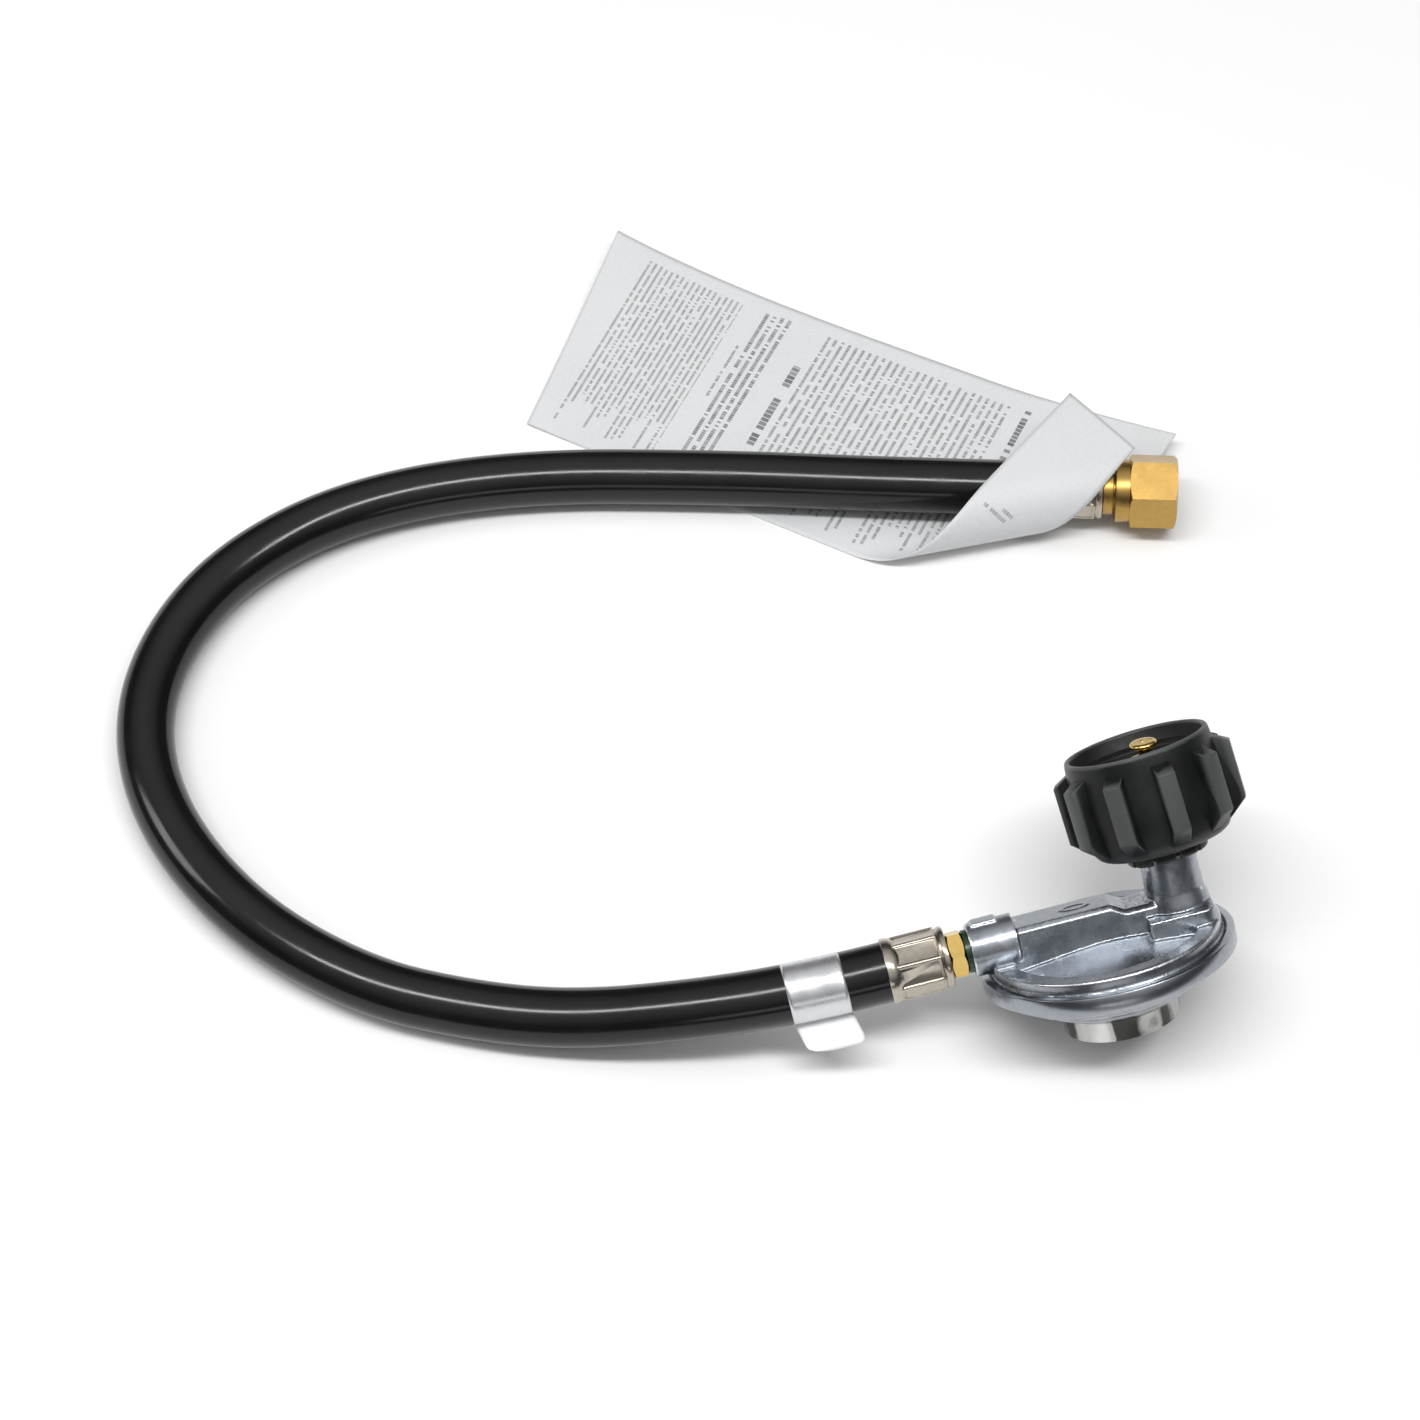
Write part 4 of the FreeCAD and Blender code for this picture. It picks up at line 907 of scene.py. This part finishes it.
def label():
    """The film wraps the hose once, and its two ends are stuck together as a flag."""
    line = centre_line()
    start = OUTLET @ Vector((0, 0, (FERRULE_START + FERRULE_LENGTH) * MM))
    way = (OUTLET.to_3x3() @ Vector((0, 0, 1))).normalized()
    front = way.cross(Vector((0, 0, 1))).normalized()
    if front.y > 0:
        front = -front
    up = front.cross(way).normalized()
    if up.z < 0:
        up = -up
    section = label_section()
    tip = unit(LEAVE_ANGLE) * LABEL_R
    flag_way = unit(FLAG_ANGLE)
    flag_end = FLAG_STEPS + WRAP_STEPS
    mesh = bmesh.new()
    grid = []
    for i in range(LABEL_COLUMNS + 1):
        share = i / LABEL_COLUMNS
        near = start + way * (LABEL_START + LABEL_WIDTH * share) * MM
        centre = min(line, key=lambda p: (p - near).length)
        centre = centre + way * (near - centre).dot(way)
        row = []
        for k, point in enumerate(section):
            beyond = 0.0
            if k < FLAG_STEPS or k > flag_end:
                beyond = max(0.0, (point - tip).dot(flag_way) / FLAG_LENGTH)
            # the flag is skewed, and its corners are rounded
            corner = max(0.0, beyond - (1 - CORNER_SHARE)) / CORNER_SHARE
            inset = CORNER_ROUND * (1 - math.sqrt(max(0.0, 1 - corner * corner)))
            slide = FLAG_SKEW * beyond + inset * (1 - 2 * share)
            ripple = FLAG_RIPPLE * beyond * math.sin(5.0 * share + 1.0)
            curl = FLAG_CURL * beyond ** 3 * max(0.0, share - CURL_START) / (1 - CURL_START)
            height = point.y + ripple + curl
            place = centre + front * point.x * MM + up * height * MM + way * slide * MM
            row.append(mesh.verts.new(place))
        grid.append(row)
    for near_row, far_row in zip(grid, grid[1:]):
        for k in range(len(section) - 1):
            face = mesh.faces.new((near_row[k], far_row[k], far_row[k + 1], near_row[k + 1]))
            face.material_index = 1 if k < FLAG_STEPS or k >= flag_end else 0
    data = bpy.data.meshes.new("hose_label_film")
    mesh.to_mesh(data)
    mesh.free()
    obj = bpy.data.objects.new("hose_label_film", data)
    bpy.context.scene.collection.objects.link(obj)
    merge(obj, 0.0005)
    data.materials.append(FINISHES["label_film"])
    data.materials.append(FINISHES["label_white"])
    only(obj)
    bpy.ops.object.shade_smooth_by_angle(angle=math.radians(30))
    change(obj, "SOLIDIFY", thickness=LABEL_T * MM, offset=0.0)
    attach(obj, "root")
    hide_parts("hose_label")


label()


# ---------------------------------------------------------------- handwheel
def grip_rib(name):
    """One rib: a block whose outer face is shorter than its root, so that both ends slope."""
    half = RIB_WIDTH / 2
    rib = block(name, (RIB_ROOT_R, -half, RIB_LOW_Z), (RIB_TIP_R, half, RIB_TOP_Z))
    edit(rib)
    pick(rib, lambda middle, normal: normal.x > 0.9)
    face = RIB_FACE_TOP_Z - RIB_FACE_LOW_Z
    bpy.ops.transform.resize(value=(1, RIB_TAPER, face / (RIB_TOP_Z - RIB_LOW_Z)))
    shift = (RIB_FACE_TOP_Z + RIB_FACE_LOW_Z - RIB_TOP_Z - RIB_LOW_Z) / 2
    bpy.ops.transform.translate(value=(0, 0, shift * MM))
    pick(rib, lambda middle, way: middle.x > RIB_ROOT_R + 0.5, "EDGE")
    bpy.ops.mesh.bevel(offset=RIB_EDGE * MM, segments=2, affect="EDGES")
    leave()
    return rib


def handwheel():
    """The black wheel that is also the cylinder nut: ribs, inside thread and slotted neck."""
    section = [
        (NECK_BORE_R, NECK_Z + 0.3), (NECK_BORE_R + 0.3, NECK_Z), (NECK_R - 0.4, NECK_Z),
        (NECK_R, NECK_Z + 0.4),
        (NECK_R, FLOOR_Z - 0.5), (NECK_R + 0.5, FLOOR_Z), (15.6, FLOOR_Z), (16.7, FLOOR_Z + 0.25),
        (17.6, FLOOR_Z + 0.9), (18.3, FLOOR_Z + 2.0), (18.8, FLOOR_Z + 3.6), (19.25, FLOOR_Z + 6.0),
        (19.6, FLOOR_Z + 8.6), (19.8, FLOOR_Z + 11.5), (19.8, RIM_Z - 11.0), (19.7, RIM_Z - 7.5),
        (19.45, RIM_Z - 3.9), (19.2, RIM_Z - 1.2), (19.05, RIM_Z - 0.45), (18.8, RIM_Z - 0.1),
        (18.4, RIM_Z), (18.0, RIM_Z - 0.1), (17.75, RIM_Z - 0.4), (17.6, RIM_Z - 0.9),
        (17.5, RIM_Z - 3.6),
        (17.3, RIM_Z - 3.9), (14.6, RIM_Z - 4.6)]
    for i in range(THREAD_TURNS):
        crest = RIM_Z - 5.0 - THREAD_PITCH * i
        section += [(14.3, crest), (14.3, crest - 1.3), (15.7, crest - 2.0), (15.7, crest - 4.1)]
    section += [(16.6, RIM_Z - 19.9), (16.8, RIM_Z - 20.5), (16.8, FLOOR_Z + 3.3),
                (16.4, FLOOR_Z + 2.3),
                (15.2, FLOOR_Z + 1.7), (HUB_HOLE_R, FLOOR_Z + 1.7), (HUB_HOLE_R, FLOOR_Z - 0.4),
                (NECK_BORE_R, FLOOR_Z - 0.4)]
    wheel = turned("handwheel", section, 144, closed=True)
    ribs = []
    first = grip_rib("rib")
    for i in range(RIBS):
        rib = twin(first, "rib_%d" % i)
        ribs.append(settle(rib, turn(RIB_PHASE + 360 * i / RIBS, "Z")))
    bpy.data.objects.remove(first, do_unlink=True)
    combine(wheel, together(ribs, "ribs"), "UNION")
    slots = []
    for i in range(RIBS // 2):
        slot = block("slot_%d" % i, (-NECK_R - 1, -SLOT_HALF, NECK_Z - 1),
                     (NECK_R + 1, SLOT_HALF, FLOOR_Z - 0.6))
        slots.append(settle(slot, turn(RIB_PHASE + 360 * i / RIBS, "Z")))
    for slot in slots:
        combine(wheel, slot, "DIFFERENCE")
    settle(wheel, LEANING)
    finished(wheel, "handwheel", FINISHES["wheel_plastic"], ["handwheel_nut"], 32)
    # painted shade: the mouth is darker than the rest, for the shade inside it
    wheel.data.materials.append(FINISHES["wheel_inside"])
    back = LEANING.inverted()
    for face in wheel.data.polygons:
        middle = back @ face.center / MM
        if middle.to_2d().length < INSIDE_R and FLOOR_Z + 1.0 < middle.z < RIM_Z - 1.0:
            face.material_index = 1


def probe():
    """The brass probe in the middle of the nipple, with its domed head and pin hole."""
    head = PROBE_TOP - 1.5
    profile = [
        (0, PROBE_TAIL_Z), (1.0, PROBE_TAIL_Z), (1.2, PROBE_TAIL_Z + 0.2), (1.2, PROBE_GUIDE_Z),
        (3.5, PROBE_GUIDE_Z), (3.62, PROBE_GUIDE_Z + 0.2), (3.62, PROBE_GUIDE_Z + 1.5),
        (1.75, PROBE_GUIDE_Z + 2.6), (1.6, PROBE_GUIDE_Z + 3.0), (1.6, head - 0.2), (1.8, head),
        (3.2, head + 0.12), (3.5, head + 0.35),
        (3.6, head + 0.7), (3.5, head + 1.05), (3.2, head + 1.3), (2.6, head + 1.44),
        (1.4, PROBE_TOP),
        (0.55, PROBE_TOP), (0.42, PROBE_TOP - 0.1), (0.3, PROBE_TOP - 0.5), (0, PROBE_TOP - 0.6),
    ]
    obj = settle(turned("probe", profile, 64), INLET)
    finished(obj, "poppet", FINISHES["brass"], ["probe_poppet"], 40)


handwheel()
probe()


# ---------------------------------------------------------------- casting and bonnet
def cast_body():
    """The casting with every edge rounded as a die leaves it, and a raised oval ring."""
    body = twin(frame["nodes"]["regulator_body"], "cast_body")
    body.parent = None
    body.matrix_world = Matrix.Identity(4)
    for key in list(body.keys()):
        if key.startswith("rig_"):
            del body[key]
    merge(body, 0.0005)
    clear_selection()
    bpy.ops.mesh.primitive_torus_add(major_radius=OVAL_R * MM, minor_radius=0.3 * MM,
                                     major_segments=64, minor_segments=12)
    oval = fresh("oval")
    edit(oval)
    bpy.ops.mesh.select_all(action="SELECT")
    bpy.ops.transform.resize(value=(OVAL_STRETCH, 1, 1))
    bpy.ops.transform.translate(value=(OVAL_X * MM, 0, OVAL_Z * MM))
    leave()
    body = together([body, settle(oval, UPRIGHT)], "cast_body")
    change(body, "REMESH", mode="VOXEL", voxel_size=CAST_VOXEL * MM)
    change(body, "SMOOTH", factor=0.5, iterations=7)
    change(body, "DECIMATE", ratio=0.5)
    finished(body, "root", FINISHES["zinc"], ["regulator_body"], 60)


def bonnet():
    """The pressed lower half: rolled lip, stepped cone and polished spring tower."""
    lip_in = FLANGE_R - 1.6
    profile = [
        (31.4, FLANGE_HIGH - 0.2), (31.6, FLANGE_HIGH), (32.9, FLANGE_HIGH),
        (33.3, FLANGE_HIGH - 0.15), (FLANGE_R, FLANGE_HIGH - 0.5), (FLANGE_R, FLANGE_LOW + 0.4),
        (33.35, FLANGE_LOW), (32.9, -2.35), (31.8, -2.75), (31.5, -3.0), (31.3, -3.5),
        (31.0, -3.75), (28.3, -5.1), (28.0, -5.35), (27.8, -5.8), (27.4, -6.1), (22.2, -8.7),
        (21.9, -8.95), (21.75, -9.4), (21.4, -9.65), (17.2, -11.75), (16.2, -12.2),
        (15.6, -12.8), (TOWER_R, -13.4), (TOWER_R, TOWER_LOW + 0.6), (15.2, TOWER_LOW + 0.2),
        (14.85, TOWER_LOW), (TOWER_BORE_R + 0.4, TOWER_LOW),
        (TOWER_BORE_R + 0.1, TOWER_LOW + 0.15), (TOWER_BORE_R, TOWER_LOW + 0.4),
        (TOWER_BORE_R, -10.6), (20.0, -6.6), (24.0, -2.6), (24.0, -0.5), (lip_in, -0.5),
        (lip_in, 1.35), (31.4, 1.35),
    ]
    obj = settle(turned("bonnet_pressing", profile, 160, closed=True), UPRIGHT)
    finished(obj, "root", FINISHES["bonnet_zinc"], ["bonnet"], 30)
    # the tower is polished and carries painted reflections, the rest is as cast
    obj.data.materials.append(FINISHES["tower_zinc"])
    back = UPRIGHT.inverted()
    for face in obj.data.polygons:
        if (back @ face.center).z < TOWER_SHINE * MM:
            face.material_index = 1


cast_body()
bonnet()


# ---------------------------------------------------------------- hose ends
def bore(radius, low, high, steps):
    """A plain cylinder to cut with."""
    return turned("bore", [(0, low), (radius, low), (radius, high), (0, high)], steps)


def crimped_ferrule(name, place, node):
    """A nickel ferrule pressed by eight jaws: each flat is a shallow framed panel."""
    length = FERRULE_LENGTH
    shell = prism(name, 8, FERRULE_FLATS, 2.2, length - 2.6)
    edit(shell)
    pick(shell, lambda middle, normal: abs(normal.z) < 0.5)
    bpy.ops.mesh.inset(thickness=PANEL_FRAME * MM, depth=0.0, use_individual=True)
    bpy.ops.mesh.inset(thickness=PANEL_SLOPE * MM, depth=-PANEL_DEPTH * MM, use_individual=True)
    leave()
    soften(shell, 0.16, 2, 20)
    ends = turned(name + "_ends", [
        (5.2, 0.3), (5.5, 0.0), (7.6, 0.0), (8.05, 0.25), (8.2, 0.8), (8.05, 1.5), (7.6, 2.2),
        (7.35, 3.0), (7.35, length - 4.0), (7.8, length - 3.3), (8.3, length - 2.6),
        (8.55, length - 1.8), (8.7, length - 0.8), (8.7, length - 0.15), (8.6, length),
        (8.25, length), (8.12, length - 0.2), (8.05, length - 1.6),
        (FERRULE_BORE_R, length - 1.9), (FERRULE_BORE_R, 2.0), (5.2, 2.0),
    ], closed=True)
    combine(shell, bore(FERRULE_BORE_R, -1, length + 1, 96), "DIFFERENCE")
    combine(shell, ends, "UNION")
    settle(shell, place)
    finished(shell, "root", FINISHES["ferrule_steel"], [node], 32)


def nut_blank(name, flats, low, high, chamfer, roll):
    """A hexagon with its corners turned away at both ends."""
    corner = flats / 2 / math.cos(math.pi / 6)
    blank = prism(name, 6, flats, low, high, roll)
    turning = turned(name + "_turning", [
        (0, low), (corner - chamfer, low), (corner + 0.2, low + chamfer * 0.55),
        (corner + 0.2, high - chamfer * 0.55), (corner - chamfer, high), (0, high)])
    return combine(blank, turning, "INTERSECT")


def hose_barb():
    """The brass insert: taper thread, sealant, hexagon and barbed tail."""
    hexagon = nut_blank("hose_barb", HEX_FLATS, SEALANT_END, HEX_END, 1.5, 12.0)
    tail_start = FERRULE_START + 1.8
    tail_end = FERRULE_START + FERRULE_LENGTH - 1
    stem = turned("stem", [
        (0, 26.5), (4.7, 26.5), (4.9, 26.9), (4.9, SEALANT_END + 0.4), (4.6, SEALANT_END + 0.4),
        (4.6, tail_start), (3.95, tail_start), (3.95, tail_end - 0.3), (3.6, tail_end),
        (0, tail_end)], 64)
    combine(hexagon, stem, "UNION")
    combine(hexagon, bore(GAS_BORE_R, 25, tail_end + 1, 48), "DIFFERENCE")
    settle(hexagon, OUTLET)
    finished(hexagon, "root", FINISHES["brass"], ["hose_insert"], 30)


def flare_nut():
    """The swivel nut: round shoulder, hexagon and an inside thread."""
    hex_start = NUT_START + NUT_SHOULDER
    end = hex_start + NUT_HEX_LENGTH
    nut = nut_blank("flare_swivel_nut", NUT_FLATS, hex_start, end, 1.5, 30.0)
    shoulder = turned("shoulder", [
        (0, NUT_START), (8.3, NUT_START), (8.85, NUT_START + 0.25), (9.0, NUT_START + 0.8),
        (9.0, hex_start + 0.4), (0, hex_start + 0.4)])
    combine(nut, shoulder, "UNION")
    thread = [(0, NUT_START - 1), (5.25, NUT_START - 1), (5.25, hex_start + 0.4),
              (7.6, hex_start + 0.4),
              (7.6, 12.0)]
    z = 12.2
    while z + NUT_PITCH < end - 0.9:
        thread += [(7.25, z + 0.15), (7.25, z + 0.4), (7.95, z + 0.85), (7.95, z + 1.0)]
        z += NUT_PITCH
    thread += [(7.25, z + 0.2), (7.4, end - 0.7), (8.2, end + 0.1), (8.2, end + 1), (0, end + 1)]
    combine(nut, turned("bore", thread), "DIFFERENCE")
    settle(nut, FAR)
    finished(nut, "swivel_nut", FINISHES["nut_brass"], ["flare_nut"], 30)


def flare_stem():
    """The fixed stem under the nut, with its collar and its 45 degree flare."""
    profile = [
        (GAS_BORE_R, -15.6), (3.9, -15.6), (4.0, -15.3), (4.0, -1.8), (4.6, -1.8), (4.6, 0.02),
        (6.7, 0.02), (6.95, 0.15), (7.0, 0.4), (7.0, 2.6), (6.9, 2.9), (6.6, 3.0), (5.2, 3.0),
        (5.2, 8.3), (6.8, 8.3), (7.0, 8.5), (7.0, 9.0), (4.6, 11.5), (4.3, 11.6), (2.5, 11.6),
        (GAS_BORE_R, 11.4),
    ]
    obj = settle(turned("flare_stem", profile, 72, closed=True), FAR)
    finished(obj, "root", FINISHES["nut_brass"], ["flare_insert"], 35)


crimped_ferrule("near_crimp", OUTLET @ Matrix.Translation((0, 0, FERRULE_START * MM)),
                "near_ferrule")
crimped_ferrule("far_crimp", FAR @ turn(180, "X"), "far_ferrule")
hose_barb()
flare_nut()
flare_stem()


# ---------------------------------------------------------------- finishes of the other CAD nodes
def paint_nodes():
    """Each CAD node's material carries the name of its slot, which picks the finish."""
    for node in frame["nodes"].values():
        for slot in node.material_slots:
            slot.material = FINISHES[slot.material.name.split(".")[0]]


paint_nodes()


# ---------------------------------------------------------------- floor and lights
def floor():
    clear_selection()
    bpy.ops.mesh.primitive_plane_add(size=30.0)
    obj = fresh("floor")
    obj.location = (0, 0, -0.0001)
    f = Finish("pale_floor", (0.90, 0.90, 0.90), 0.6)
    f.set("Specular IOR Level", 0.2)
    f.colour(f.blend(f.noise(3.0), (0.89, 0.89, 0.89), (0.91, 0.91, 0.91)))
    obj.data.materials.append(f.material)


def area_light(name, place, target, size, power):
    data = bpy.data.lights.new(name, "AREA")
    data.shape = "RECTANGLE"
    data.size, data.size_y = size
    data.energy = power
    obj = bpy.data.objects.new(name, data)
    obj.location = place
    way = Vector(target) - Vector(place)
    obj.rotation_euler = way.to_track_quat("-Z", "Y").to_euler()
    bpy.context.scene.collection.objects.link(obj)


def lights():
    """A long strip over the hose, two weak fills and a sky that is bright overhead."""
    middle = (-0.09, 0.07, 0.0)
    area_light("key", (-0.10, -0.17, 1.35), middle, (1.6, 0.16), 15.0)
    area_light("front", (0.1, -1.5, 0.45), middle, (0.9, 0.25), 1.0)
    area_light("left", (-1.4, 0.1, 0.8), middle, (0.5, 0.5), 4.0)
    world = bpy.data.worlds.new("studio")
    bpy.context.scene.world = world
    world.use_nodes = True
    nodes = world.node_tree.nodes
    links = world.node_tree.links
    coords = nodes.new("ShaderNodeTexCoord")
    parts = nodes.new("ShaderNodeSeparateXYZ")
    ramp = nodes.new("ShaderNodeValToRGB")
    ramp.color_ramp.elements[0].position = 0.42
    ramp.color_ramp.elements[0].color = (0.10, 0.10, 0.105, 1)
    ramp.color_ramp.elements[1].position = 0.95
    ramp.color_ramp.elements[1].color = (1.0, 1.0, 1.0, 1)
    links.new(coords.outputs["Generated"], parts.inputs["Vector"])
    links.new(parts.outputs["Z"], ramp.inputs["Fac"])
    links.new(ramp.outputs["Color"], nodes["Background"].inputs["Color"])
    nodes["Background"].inputs["Strength"].default_value = 0.85
    bpy.context.scene.view_settings.view_transform = "Standard"


floor()
lights()
